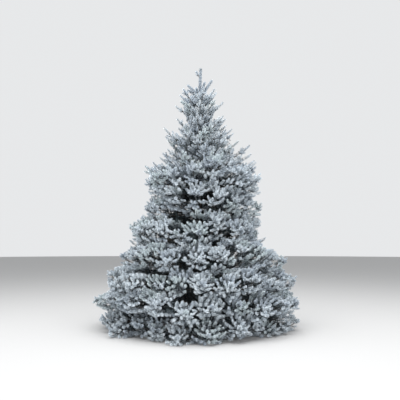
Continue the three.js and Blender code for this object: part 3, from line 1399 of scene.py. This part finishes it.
    def pocket_under(self, limb: Limb) -> Hollow:
        """Leave a shaded pocket under a bough's fan.

        Args:
            limb: the bough.

        Returns:
            The pocket.
        """
        bearing = math.degrees(limb.bearing) + 90 + self.rng.normal(0, self.pocket_stray)
        height = limb.points[-1, 2] - self.rng.uniform(*self.pocket_drop)
        wide = self.rng.uniform(*self.pocket_wide)
        return Hollow(bearing, height, wide, self.rng.uniform(*self.pocket_high))

    def grow_lead(self, limb: Limb) -> None:
        """Grow a bough's leading shoot, with the side shoots about its foot.

        Args:
            limb: the bough.
        """
        rule, rng = self.lead, self.rng
        foot, along = limb.points[-1], limb.directions[-1]
        way = unit(along + self.tip_direction(limb.bearing))
        if self.is_hollow((foot + rule.clear * way)[None])[0]:
            return
        length = self.habit.lead * rng.uniform(*rule.lengths)
        # painted light: a leading shoot takes the tints of full light
        tint = self.odds.deal(1.0, rng)
        end = foot + length * way
        young = max(self.habit.shoot, length)
        start, leave = limb.points[-rule.joint], limb.directions[-rule.joint]
        self.stems.add(start, leave, end, way, rule.radii, young, rule.clothed, tint)
        for side, over in rule.around:
            off = unit(self.turn_off(way, side, over, rule.stray, rule.aside))
            end = foot + (rule.share + rule.more * rng.random()) * length * off
            arrive = unit(off + rule.bend * way)
            self.stems.add(foot, off, end, arrive, rule.side_radii, WHOLE, WHOLE, tint)

    def grow_between(self) -> None:
        """Grow the small boughs on the trunk under the whorl."""
        rule, rng, mass = self.small, self.rng, self.masses[0]
        height = self.limbs[0].points[0][2]
        for number in range(self.habit.between):
            bearing = GOLDEN_ANGLE * number + rng.normal(0, rule.bearing_stray)
            lit = number % rule.shaded_every > 0
            start = UP * max(height + rng.uniform(*rule.feet), rule.least_foot)
            end = start[2] + rng.uniform(0, rule.rise)
            long = rule.share * mass.reach * rng.uniform(*rule.lengths)
            if lit:
                end = max(mass.rim - rng.uniform(*rule.under_rim), rule.least_tip)
                heights = (end - rule.about, end + rule.about)
                far = [self.crown.reach_at(bearing, at, long) for at in heights]
                long = max(sum(far) / 2 - rng.uniform(0, rule.short), rule.least)
            target = end * UP + long * heading_of(bearing)
            leave = unit(target - start + rule.arch * UP)
            limb = self.reach_for(start, target, leave, bearing, rule.thick)
            self.limbs.append(limb)
            self.grow_shaded(limb)
            if lit and not self.is_hollow(target[None])[0]:
                self.clothe_bough(limb, rule.pairs, 1 - rule.leafy / long, rule.lift)

    def growth_direction(self, point: np.ndarray, normal: np.ndarray) -> np.ndarray:
        """Choose the direction of a shoot that ends at a place on the mass.

        Args:
            point: the place.
            normal: the mass's normal there.

        Returns:
            The direction.
        """
        rule = self.sprays
        rise = math.radians(self.habit.rise)
        pull = rule.pull if normal[2] > 0 else rule.under_pull
        way = math.cos(rise) * outward_at(point) + math.sin(rise) * UP + pull * normal
        return unit(way + self.rng.normal(0, rule.stray, 3))

    def ease(self, along: np.ndarray, straight: np.ndarray) -> np.ndarray:
        """Return a direction between that of a stem's parent and its own straight way."""
        return (1 - self.sprays.straight) * along + self.sprays.straight * straight

    def shape_fans(self, points: np.ndarray, limbs: list[Limb]) -> np.ndarray:
        """Sink places between the boughs' fans, and lift each fan as its bough is lifted.

        Args:
            points: places on the mass.
            limbs: its boughs.

        Returns:
            The moved places.
        """
        bearing = np.arctan2(points[:, 1], points[:, 0])
        apart = bearing[:, None] - np.array([limb.bearing for limb in limbs])[None]
        apart = np.abs(half_turn(apart))
        half_fan = self.masses[0].half / self.habit.fans
        share = np.minimum(apart.min(1) / half_fan, self.valley_edge)
        lifts = np.array([limb.lift for limb in limbs])[apart.argmin(1)]
        sunk = self.valley * distance_out(points) * share**2 + self.taper * lifts
        shaped = points - sunk[:, None] * outward_at(points) + lifts[:, None] * UP
        shaped[:, 2] = np.maximum(shaped[:, 2], self.lowest)
        return shaped

    def open_places(self, mass: Mass, limbs: list[Limb]) -> Places:
        """Find the places on a mass where young shoots may end, the foremost first.

        Args:
            mass: the mass.
            limbs: its boughs.

        Returns:
            The places.
        """
        rule, rng = self.sprays, self.rng
        points, normals = mass.samples(rule.per_square_metre, rng)
        places = Places(points, normals, self.crown.openness(points, normals))
        places = places.pick((places.light > rule.hidden) & ~self.is_hollow(points))
        places = replace(places, points=self.shape_fans(places.points, limbs))
        places = places.pick(~self.is_hollow(places.points))
        foremost = distance_out(places.points) + rule.light_first * places.light
        order = np.argsort(-(foremost + rng.normal(0, rule.mixed, len(foremost))))
        return places.pick(order)

    def grow_sprays(self, mass: Mass, limbs: list[Limb]) -> None:
        """Cover the open side of a mass with sprays, and each spray with shoots.

        Args:
            mass: the mass.
            limbs: its boughs.
        """
        habit, rule = self.habit, self.sprays
        places = self.open_places(mass, limbs)
        points = places.points
        shape = np.array((1 / habit.wide, 1 / habit.wide, 1 / habit.high))
        centres = thin_out(points * shape, np.ones(len(points)))
        room = habit.spacing * (rule.shade_room - (rule.shade_room - 1) * places.light)
        mix = self.rng.permutation(len(points))
        tips = mix[thin_out(points[mix] / (1.0, 1.0, rule.upright), room[mix])]
        apart = np.linalg.norm((points[tips][:, None] - points[centres][None]) * shape, axis=2)
        nearest = apart.argmin(1)
        for number, centre in enumerate(centres):
            mine = nearest == number
            self.grow_spray(limbs, places.pick(centre), places.pick(tips[mine]), apart[mine, number])

    def grow_spray(
        self, limbs: list[Limb], centre: Places, tips: Places, apart: np.ndarray
    ) -> None:
        """Grow one spray: an axis off the nearest bough, and a shoot to each tip.

        Args:
            limbs: the boughs that it may grow on.
            centre: the one place where its axis ends.
            tips: the places where its shoots end.
            apart: each tip's distance from the centre, as a share of the spray's room.
        """
        habit, rng, rule = self.habit, self.rng, self.sprays
        way = self.growth_direction(centre.points, centre.normals)
        end = centre.points + habit.proud * way
        limb = min(limbs, key=lambda one: np.linalg.norm(one.points - end, axis=1).min())
        at = limb.fork(end, rule.axis_angle, rule.axis_long)
        start = limb.points[at]
        toward = self.ease(limb.directions[at], unit(end - start))
        leave = unit(toward + rule.arch * UP)
        # painted light: the spray's tint follows how open its place is
        tint = self.odds.deal(float(centre.light), rng)
        self.stems.add(
            start, leave, end, way, rule.axis_radii, habit.shoot, rule.axis_clothed, tint
        )
        share = np.linspace(*rule.axis_shares, rule.axis_points)
        length = float(np.linalg.norm(end - start))
        line, _ = smooth_curve(start, leave * length, end, way * length, share)
        axis = Limb(line, np.full(len(share), rule.axis_radii[0]))
        for tip, normal, far in zip(tips.points, tips.normals, apart):
            if np.linalg.norm(tip - end) < rule.too_near:
                continue
            own = unit(self.growth_direction(tip, normal) + rule.follow * way)
            below = min(max(float(centre.points[2] - tip[2]) / habit.high, 0.0), 1.0)
            edge = min(float(far), rule.widest) ** 2
            tip = tip - own * (rule.sink + rule.edge_sink * edge + rule.low_sink * below)
            angle = rng.uniform(rule.least_angle, rule.most_angle - rule.rise_share * habit.rise)
            where, stem = axis.fork(tip, angle, rule.shoot_long, 0.0), axis
            if unit(tip - axis.points[where])[2] < rule.droop:
                where, stem = limb.fork(tip, rule.bough_angle, rule.bough_long), limb
            root, along = stem.points[where], stem.directions[where]
            straight = unit(tip - root)
            if straight[2] < rule.droop:
                continue
            off = unit(self.ease(along, straight))
            young = habit.shoot * rng.uniform(*rule.lengths)
            keep = rule.keep - rule.turned * max(float(own @ straight), 0.0)
            arrive = unit(own + keep * straight)
            self.stems.add(
                root, off, tip, arrive, rule.shoot_radii, young, rule.shoot_clothed, tint
            )


@dataclass(frozen=True)
class Leader:
    """The tree's topmost shoot with its forked tip, and the whorl of straight shoots at its foot.

    Each shoot of the whorl has degrees to the right of the front as the camera sees it, reach from
    the trunk and height of the tip.
    """

    foot: float = 4.26
    tip: float = 4.868
    aside: float = 0.014  # how far the tip stands to the right
    lean: float = 0.06  # how strongly it leans that way
    radii: tuple[float, float] = (0.012, 0.009)
    thickly: float = 2.2
    tuft: float = 0.05  # length of the dark tuft at the tip
    tuft_radii: tuple[float, float] = (0.010, 0.007)
    tuft_thickly: float = 0.6
    prong_down: float = 0.165  # from the tip to the fork of the left prong
    prong_bearing: float = 172.0  # degrees
    prong_out: float = 0.085
    prong_up: float = 0.115
    prong_leave: float = 0.5  # how strongly it turns up at the fork
    prong_arrive: float = 0.2  # how strongly it still turns out at its tip
    prong_radii: tuple[float, float] = (0.008, 0.006)
    prong_clothed: float = 0.09
    prong_thickly: float = 1.3
    whorl_up: float = 0.06  # how far over the leader's foot the whorl begins
    whorl_step: float = 0.006  # how much lower each of its shoots begins than the one before
    whorl_radii: tuple[float, float] = (0.009, 0.0065)
    whorl_thickly: float = 2.1
    whorl: tuple[tuple[float, float, float], ...] = (
        (-84, 0.232, 4.54),
        (-104, 0.236, 4.47),
        (86, 0.226, 4.635),
        (40, 0.135, 4.57),
        (-20, 0.210, 4.43),
        (165, 0.160, 4.53),
    )

    def grow(self, stems: Stems) -> None:
        """Add the leader, its tuft and prong, and the whorl.

        Args:
            stems: where they are added.
        """
        foot, tip = UP * self.foot, UP * self.tip + self.aside * heading_of(0)
        lean = unit(UP + self.lean * heading_of(0))
        stems.add(foot, UP, tip, lean, self.radii, WHOLE, WHOLE, Tint.STEEL, self.thickly)
        low = tip - self.tuft * lean
        tuft = (low, lean, tip, lean, self.tuft_radii)
        stems.add(*tuft, WHOLE, WHOLE, Tint.AGED, self.tuft_thickly)
        self.grow_prong(stems, tip)
        for number, (turn, reach, height) in enumerate(self.whorl):
            start = (self.foot + self.whorl_up - self.whorl_step * number) * UP
            end = reach * heading_of(math.radians(turn - 90)) + height * UP
            way = unit(end - start)
            shoot = (start, way, end, way, self.whorl_radii)
            stems.add(*shoot, WHOLE, WHOLE, Tint.STEEL, self.whorl_thickly)

    def grow_prong(self, stems: Stems, tip: np.ndarray) -> None:
        """Add the left prong.

        Args:
            stems: where it is added.
            tip: the leader's tip.
        """
        left = heading_of(math.radians(self.prong_bearing))
        fork = tip - self.prong_down * UP
        end = fork + self.prong_out * left + self.prong_up * UP
        leave = unit(left + self.prong_leave * UP)
        arrive = unit(self.prong_arrive * left + UP)
        prong = (fork, leave, end, arrive, self.prong_radii)
        stems.add(*prong, WHOLE, self.prong_clothed, Tint.STEEL, self.prong_thickly)


def deselect() -> None:
    """Leave nothing selected, as the frame's own nodes are after loading."""
    if bpy.context.object and bpy.context.object.mode != "OBJECT":
        bpy.ops.object.mode_set(mode="OBJECT")
    bpy.ops.object.select_all(action="DESELECT")


def keep_above_ground(piece: bpy.types.Object) -> None:
    """Hold a piece's lowest points at the ground."""
    for vertex in piece.data.vertices:
        vertex.co.z = max(vertex.co.z, 0.0)


def apply_modifier(piece: bpy.types.Object, modifier: bpy.types.Modifier) -> None:
    """Apply a modifier, with only its piece selected.

    Args:
        piece: the mesh.
        modifier: its modifier.
    """
    deselect()
    bpy.context.view_layer.objects.active = piece
    piece.select_set(True)
    bpy.ops.object.modifier_apply(modifier=modifier.name)


class Pattern(Enum):
    """What a relief in bark is made of, by the modeller's names for such textures."""

    SWELLINGS = "CLOUDS"
    SCALES = "VORONOI"


@dataclass(frozen=True)
class Relief:
    """A relief that is pressed into bark, with the size of its pattern and its depth."""

    kind: Pattern
    size: float
    depth: float

    def press(self, piece: bpy.types.Object, group: str = "") -> None:
        """Press the relief into a mesh.

        Args:
            piece: the mesh.
            group: the vertex group that says how strongly each part takes it, or nothing.
        """
        name = f"{piece.name}_{self.kind.name.lower()}"
        pattern = bpy.data.textures.new(name, self.kind.value)
        pattern.noise_scale = self.size
        relief = piece.modifiers.new("relief", "DISPLACE")
        relief.texture = pattern
        relief.texture_coords = "LOCAL"
        relief.strength = self.depth
        relief.mid_level = 0.5
        relief.vertex_group = group
        apply_modifier(piece, relief)


def smooth(piece: bpy.types.Object, levels: int) -> None:
    """Subdivide a mesh smoothly and apply it.

    Args:
        piece: the mesh.
        levels: how often each face is divided.
    """
    rounding = piece.modifiers.new("rounding", "SUBSURF")
    rounding.levels = rounding.render_levels = levels
    apply_modifier(piece, rounding)
    bpy.ops.object.shade_smooth()


@dataclass(frozen=True)
class BarkFinish:
    """Scaly bark, as a pattern in colour and relief."""

    name: str  # the material's name
    pale: tuple[float, float, float]  # colour of the scales' faces
    dark: tuple[float, float, float]  # colour of the cracks between them
    scale: float  # scales to a metre
    roughness: float = 0.88
    cracks: float = 0.12  # the mask's value up to which the colour is the cracks'
    faces: float = 0.62  # and from which it is the faces'
    bump: float = 0.7  # strength of the fine relief
    depth: float = 0.004  # and its depth

    @staticmethod
    def scales_group() -> bpy.types.NodeTree:
        """Build or fetch the group that gives bark scales as a mask, with a height.

        Returns:
            The group.
        """
        known = bpy.data.node_groups.get("bark_scales")
        if known:
            return known
        upright = 0.45  # how wide a scale is, as a share of its height
        crack, grains, detail = 0.22, 3.1, 6.0
        group = bpy.data.node_groups.new("bark_scales", "ShaderNodeTree")
        group.interface.new_socket("Scale", in_out="INPUT", socket_type="NodeSocketFloat")
        for name in ("Mask", "Height"):
            group.interface.new_socket(name, in_out="OUTPUT", socket_type="NodeSocketFloat")
        nodes, link = group.nodes, group.links.new
        inward, outward = nodes.new("NodeGroupInput"), nodes.new("NodeGroupOutput")
        places = nodes.new("ShaderNodeTexCoord")
        squeeze = nodes.new("ShaderNodeMapping")
        squeeze.inputs["Scale"].default_value = (1.0, 1.0, upright)
        cells = nodes.new("ShaderNodeTexVoronoi")
        cells.feature = "DISTANCE_TO_EDGE"
        grain = nodes.new("ShaderNodeTexNoise")
        grain.inputs["Detail"].default_value = detail
        finer = nodes.new("ShaderNodeMath")
        finer.operation = "MULTIPLY"
        finer.inputs[1].default_value = grains
        edge = nodes.new("ShaderNodeMapRange")
        edge.inputs["From Max"].default_value = crack
        both = nodes.new("ShaderNodeMath")
        both.operation = "MULTIPLY"
        link(places.outputs["Object"], squeeze.inputs["Vector"])
        link(squeeze.outputs["Vector"], cells.inputs["Vector"])
        link(squeeze.outputs["Vector"], grain.inputs["Vector"])
        link(inward.outputs["Scale"], cells.inputs["Scale"])
        link(inward.outputs["Scale"], finer.inputs[0])
        link(finer.outputs["Value"], grain.inputs["Scale"])
        link(cells.outputs["Distance"], edge.inputs["Value"])
        link(edge.outputs["Result"], both.inputs[0])
        link(grain.outputs["Fac"], both.inputs[1])
        link(both.outputs["Value"], outward.inputs["Mask"])
        link(both.outputs["Value"], outward.inputs["Height"])
        return group

    def material(self) -> bpy.types.Material:
        """Build the material on Object coordinates.

        Returns:
            The material.
        """
        made = bpy.data.materials.new(self.name)
        made.use_nodes = True
        nodes, link = made.node_tree.nodes, made.node_tree.links.new
        shader = nodes["Principled BSDF"]
        scales = nodes.new("ShaderNodeGroup")
        scales.node_tree = self.scales_group()
        scales.inputs["Scale"].default_value = self.scale
        ramp = nodes.new("ShaderNodeValToRGB")
        stops = ((self.cracks, self.dark), (self.faces, self.pale))
        for element, (position, colour) in zip(ramp.color_ramp.elements, stops):
            element.position = position
            element.color = (*colour, 1.0)
        bump = nodes.new("ShaderNodeBump")
        bump.inputs["Strength"].default_value = self.bump
        bump.inputs["Distance"].default_value = self.depth
        link(scales.outputs["Mask"], ramp.inputs["Fac"])
        link(ramp.outputs["Color"], shader.inputs["Base Color"])
        link(scales.outputs["Height"], bump.inputs["Height"])
        link(bump.outputs["Normal"], shader.inputs["Normal"])
        shader.inputs["Roughness"].default_value = self.roughness
        return made


TRUNK_BARK = BarkFinish("trunk_bark", (0.235, 0.19, 0.155), (0.055, 0.042, 0.035), 42.0)
BOUGH_BARK = BarkFinish("bough_bark", (0.13, 0.105, 0.085), (0.04, 0.032, 0.027), 75.0)


@dataclass(frozen=True)
class Trunk:
    """The trunk's bark, from its flare to its tip."""

    sides: int = 16
    step: float = 0.11  # height between rings
    last_step: float = 0.05  # the least height of the topmost length
    foot_rings: int = 5  # rings of the solid that are followed as well, from the ground
    ring_gap: float = 0.01  # the least step between rings of the solid
    levels: int = 2  # of subdivision
    flutes: int = 4  # root swellings round the foot
    flute_out: float = 0.014  # how far they are pulled out
    flute_high: float = 0.11  # how far up and round they fade away
    flute_slant: float = 0.9  # how squarely a corner looks their way to be pulled
    thick: float = 0.08  # distance from the axis where the bark takes its full relief
    reliefs: tuple[Relief, ...] = (
        Relief(Pattern.SWELLINGS, 0.09, 0.014),
        Relief(Pattern.SCALES, 0.02, 0.006),
    )

    def model(self) -> bpy.types.Object:
        """Extrude the trunk up from its cut, then round it and press in its relief.

        Returns:
            The trunk.
        """
        centres, radii = solid_rings("trunk", UP, self.ring_gap)
        top = centres[-1, 2]
        heights = np.append(np.arange(0, top - self.last_step, self.step), top)
        heights = np.unique(np.concatenate((heights, centres[: self.foot_rings, 2])))
        across = [np.interp(heights, centres[:, 2], centres[:, i]) for i in (0, 1)]
        middles = np.stack((*across, heights), axis=1)
        radius = np.interp(heights, centres[:, 2], radii)
        deselect()
        bpy.ops.mesh.primitive_circle_add(
            vertices=self.sides, radius=radius[0], fill_type="NGON", location=(0, 0, 0)
        )
        piece = bpy.context.object
        piece.name = piece.data.name = "trunk_with_bark"
        bpy.ops.object.mode_set(mode="EDIT")
        bpy.ops.mesh.select_all(action="SELECT")
        for i in range(1, len(heights)):
            step = tuple(middles[i] - middles[i - 1])
            bpy.ops.mesh.extrude_region_move(TRANSFORM_OT_translate={"value": step})
            grow = radius[i] / radius[i - 1]
            bpy.ops.transform.resize(value=(grow, grow, 1), center_override=tuple(middles[i]))
        bpy.ops.mesh.select_all(action="SELECT")
        bpy.ops.mesh.normals_make_consistent(inside=False)
        bpy.ops.object.mode_set(mode="OBJECT")
        self.flare(piece)
        smooth(piece, self.levels)
        self.relieve(piece)
        keep_above_ground(piece)
        return piece

    def flare(self, piece: bpy.types.Object) -> None:
        """Pull the root swellings out of the foot.

        Args:
            piece: the trunk.
        """
        for number in range(self.flutes):
            outward = Vector(heading_of(2 * math.pi * number / self.flutes))
            deselect()
            for vertex in piece.data.vertices:
                flat = Vector((vertex.co.x, vertex.co.y, 0))
                near = flat.length > 1e-6 and flat.normalized().dot(outward) > self.flute_slant
                vertex.select = near and vertex.co.z < self.ring_gap
            piece.select_set(True)
            bpy.ops.object.mode_set(mode="EDIT")
            bpy.ops.transform.translate(
                value=tuple(outward * self.flute_out),
                use_proportional_edit=True,
                proportional_edit_falloff="SMOOTH",
                proportional_size=self.flute_high,
            )
            bpy.ops.object.mode_set(mode="OBJECT")

    def relieve(self, piece: bpy.types.Object) -> None:
        """Press swellings and scales into the bark, less so where the stem is thin.

        Args:
            piece: the trunk.
        """
        name = "thick_stem"
        group = piece.vertex_groups.new(name=name)
        for vertex in piece.data.vertices:
            wide = math.hypot(vertex.co.x, vertex.co.y)
            group.add([vertex.index], min(wide / self.thick, 1.0), "REPLACE")
        for relief in self.reliefs:
            relief.press(piece, name)


@dataclass
class Boughs:
    """The bark of one tier's boughs."""

    tier: int
    limbs: list[Limb]
    thick_tiers: int = 4  # tiers whose boughs are thick enough to show relief
    relief: Relief = Relief(Pattern.SWELLINGS, 0.035, 0.003)

    def model(self) -> bpy.types.Object:
        """Draw each bough as a tapered curve, turn them into one mesh and roughen it.

        Returns:
            The joined boughs.
        """
        deselect()
        bpy.ops.curve.primitive_bezier_curve_add(location=(0, 0, 0))
        curve = bpy.context.object
        curve.name = curve.data.name = f"boughs_{self.tier}"
        curve.data.splines.clear()
        curve.data.dimensions = "3D"
        curve.data.bevel_depth = 1.0
        curve.data.bevel_resolution = 1
        curve.data.use_fill_caps = True
        for limb in self.limbs:
            spline = curve.data.splines.new("POLY")
            spline.points.add(len(limb.points) - 1)
            for point, place, radius in zip(spline.points, limb.points, limb.radii):
                point.co = (*place, 1.0)
                point.radius = radius
        bpy.ops.object.convert(target="MESH")
        piece = bpy.context.object
        if self.tier <= self.thick_tiers:
            smooth(piece, 1)
            self.relief.press(piece)
        keep_above_ground(piece)
        bpy.ops.object.shade_smooth()
        return piece


@dataclass(frozen=True)
class Buds:
    """Scaly buds at the tips of the shoots of the upper crown."""

    length: float = 0.018
    radius: float = 0.0055
    sides: int = 4
    widest: float = 0.3  # where that is, as a share of the length
    sunk: float = 0.1  # share of the length that is inside the shoot

    def model(self, name: str, curves: np.ndarray) -> bpy.types.Object:
        """Make one mesh of a bud at the end of each stem.

        Args:
            name: the object's name.
            curves: the stems' curves.

        Returns:
            The joined buds.
        """
        tip, along = curves[:, 2], unit(curves[:, 3])
        middle = tip + self.widest * self.length * along
        ring = spokes(along, self.sides) * self.radius + middle[:, None]
        ends = np.stack((tip - self.sunk * self.length * along, tip + self.length * along), axis=1)
        points = np.concatenate((ring, ends), axis=1)
        one = []
        for i in range(self.sides):
            after = (i + 1) % self.sides
            one += [(i, self.sides, after), (i, after, self.sides + 1)]
        triangles = number_copies(one, self.sides + 2, len(points))
        return triangle_mesh(name, points.reshape(-1, 3), triangles)


@dataclass(frozen=True)
class Softbox:
    """A soft square light that faces a target."""

    name: str
    place: tuple[float, float, float]
    target: tuple[float, float, float]
    size: float
    power: float  # in watts

    def hang(self) -> None:
        """Hang the light."""
        data = bpy.data.lights.new(self.name, "AREA")
        data.size = self.size
        data.energy = self.power
        light = bpy.data.objects.new(self.name, data)
        light.location = self.place
        aim = Vector(self.target) - Vector(self.place)
        light.rotation_euler = aim.to_track_quat("-Z", "Y").to_euler()
        bpy.context.scene.collection.objects.link(light)


@dataclass(frozen=True)
class Studio:
    """A plain pale floor, even soft light and the camera."""

    eye: float = 1.5  # the camera's height
    back: float = 9.37  # its distance from the trunk
    lens: float = 45.0  # focal length, in millimetres
    sensor: float = 36.0  # width, in millimetres
    pitch: float = 5.14  # degrees that it looks up
    air: tuple[float, float, float] = (0.80, 0.81, 0.82)
    floor_radius: float = 60.0
    floor_sides: int = 96
    floor_drop: float = 0.001  # how far it lies under the ground, clear of the trunk's cut
    lights: tuple[Softbox, ...] = (
        Softbox("overcast", (0.0, -2.5, 10.0), (0.0, 0.0, 2.0), 12.0, 2100.0),
        Softbox("left_fill", (-7.0, -10.0, 4.4), (0.0, 0.0, 1.2), 6.0, 310.0),
        Softbox("right_fill", (7.0, -10.0, 4.4), (0.0, 0.0, 1.2), 6.0, 310.0),
    )

    def build(self) -> None:
        """Set the camera, the floor, the air and the lights."""
        self.place_camera()
        self.lay_floor()
        self.fill_air()
        for light in self.lights:
            light.hang()

    def place_camera(self) -> None:
        """Stand the camera where the photo was taken from."""
        data = bpy.data.cameras.new("camera")
        data.sensor_width = self.sensor
        data.lens = self.lens
        camera = bpy.data.objects.new("camera", data)
        camera.location = (0.0, -self.back, self.eye)
        camera.rotation_euler = (math.radians(90 + self.pitch), 0.0, 0.0)
        bpy.context.scene.collection.objects.link(camera)
        bpy.context.scene.camera = camera

    def lay_floor(self) -> None:
        """Lay a wide level floor at the ground."""
        deselect()
        bpy.ops.mesh.primitive_circle_add(
            vertices=self.floor_sides, radius=self.floor_radius, fill_type="NGON"
        )
        floor = bpy.context.object
        floor.name = "floor"
        floor.location.z = -self.floor_drop
        floor.data.materials.append(FLOOR_FINISH.material())

    def fill_air(self) -> None:
        """Surround the scene with an even pale sky."""
        world = bpy.data.worlds.new("sky")
        world.use_nodes = True
        sky = world.node_tree.nodes["Background"]
        sky.inputs["Color"].default_value = (*self.air, 1.0)
        sky.inputs["Strength"].default_value = 1.0
        bpy.context.scene.world = world
        bpy.context.scene.view_settings.view_transform = "Standard"


@dataclass
class BlueSpruce:
    """The whole tree: it grows each tier and makes its pieces."""

    crown: Crown
    needle_salt: int = 100  # keeps the needles' random draws apart from the boughs'
    twig_spans: int = 2  # straight lengths in each lit twig
    inner_spans: int = 1  # and in each shaded one

    def build(self) -> None:
        """Make every piece and set it on the frame."""
        self.hollows = FRONT_HOLLOWS + SideHollows().scatter(np.random.default_rng(SEED))
        self.needle_materials = [NEEDLE_FINISHES[tint].material() for tint in Tint]
        self.twig_material = TWIG_FINISH.material()
        self.bough_material = BOUGH_BARK.material()
        self.bud_material = BUD_FINISH.material()
        self.settle(Trunk().model(), [TRUNK_BARK.material()], ["trunk"])
        for tier in HABITS:
            self.build_tier(tier)

    def build_tier(self, tier: int) -> None:
        """Grow one tier and make its boughs, twigs, needles and buds.

        Args:
            tier: the tier's number.
        """
        growth = self.grow_tier(tier)
        curves, facts = growth.stems.arrays()
        solids = [mass.node for mass in growth.masses]
        boughs = [node.replace("foliage", "bough") for node in solids]
        boughs = [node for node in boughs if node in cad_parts]
        self.settle(Boughs(tier, growth.limbs).model(), [self.bough_material], boughs)
        shaded = facts[:, Fact.TINT] >= Tint.AGED.value
        kinds = (("twigs", self.twig_spans, ~shaded), ("inner_twigs", self.inner_spans, shaded))
        for kind, spans, chosen in kinds:
            if chosen.any():
                twigs = TwigMaker(spans).build(f"{kind}_{tier}", curves[chosen], facts[chosen])
                self.settle(twigs, [self.twig_material])
        rng = np.random.default_rng(SEED + self.needle_salt + tier)
        maker = NeedleMaker(growth.habit.needle, growth.still_blue)
        needles = maker.build(f"needles_{tier}", curves, facts, rng)
        self.settle(needles, self.needle_materials, solids)
        LOG.info("tier %d: %d boughs, %d stems", tier, len(growth.limbs), len(curves))
        if growth.has_buds:
            self.settle(Buds().model(f"buds_{tier}", curves), [self.bud_material])

    def grow_tier(self, tier: int) -> TierGrowth:
        """Grow one tier's boughs and stems.

        Args:
            tier: the tier's number.

        Returns:
            The growth, with all that has grown.
        """
        masses = [mass for mass in self.crown.masses if mass.tier == tier]
        if tier in OPEN_WHORLS:
            growth = OpenTier(tier=tier, masses=masses)
        else:
            growth = LeafyTier(tier=tier, masses=masses, crown=self.crown, hollows=self.hollows)
        growth.grow()
        if tier == max(HABITS):
            Leader().grow(growth.stems)
        return growth

    def settle(
        self,
        piece: bpy.types.Object,
        materials: list[bpy.types.Material],
        solids: list[str] | None = None,
    ) -> None:
        """Dress a piece, set it on the root body, and hide the solids that it stands for.

        Args:
            piece: the piece.
            materials: its materials, in the order that its faces number them.
            solids: the solids that it stands for, if any.
        """
        for material in materials:
            piece.data.materials.append(material)
        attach(piece, "root")
        if solids:
            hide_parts(*solids)
        LOG.info("%s: %d faces", piece.name, len(piece.data.polygons))


def write_sizes() -> None:
    """Bring the scene's transforms up to date."""
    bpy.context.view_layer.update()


def main() -> None:
    """Build the studio and the tree."""
    logging.basicConfig(level=logging.INFO, format="%(name)s: %(message)s")
    Studio().build()
    BlueSpruce(Crown.read()).build()
    write_sizes()


if __name__ == "__main__":
    main()
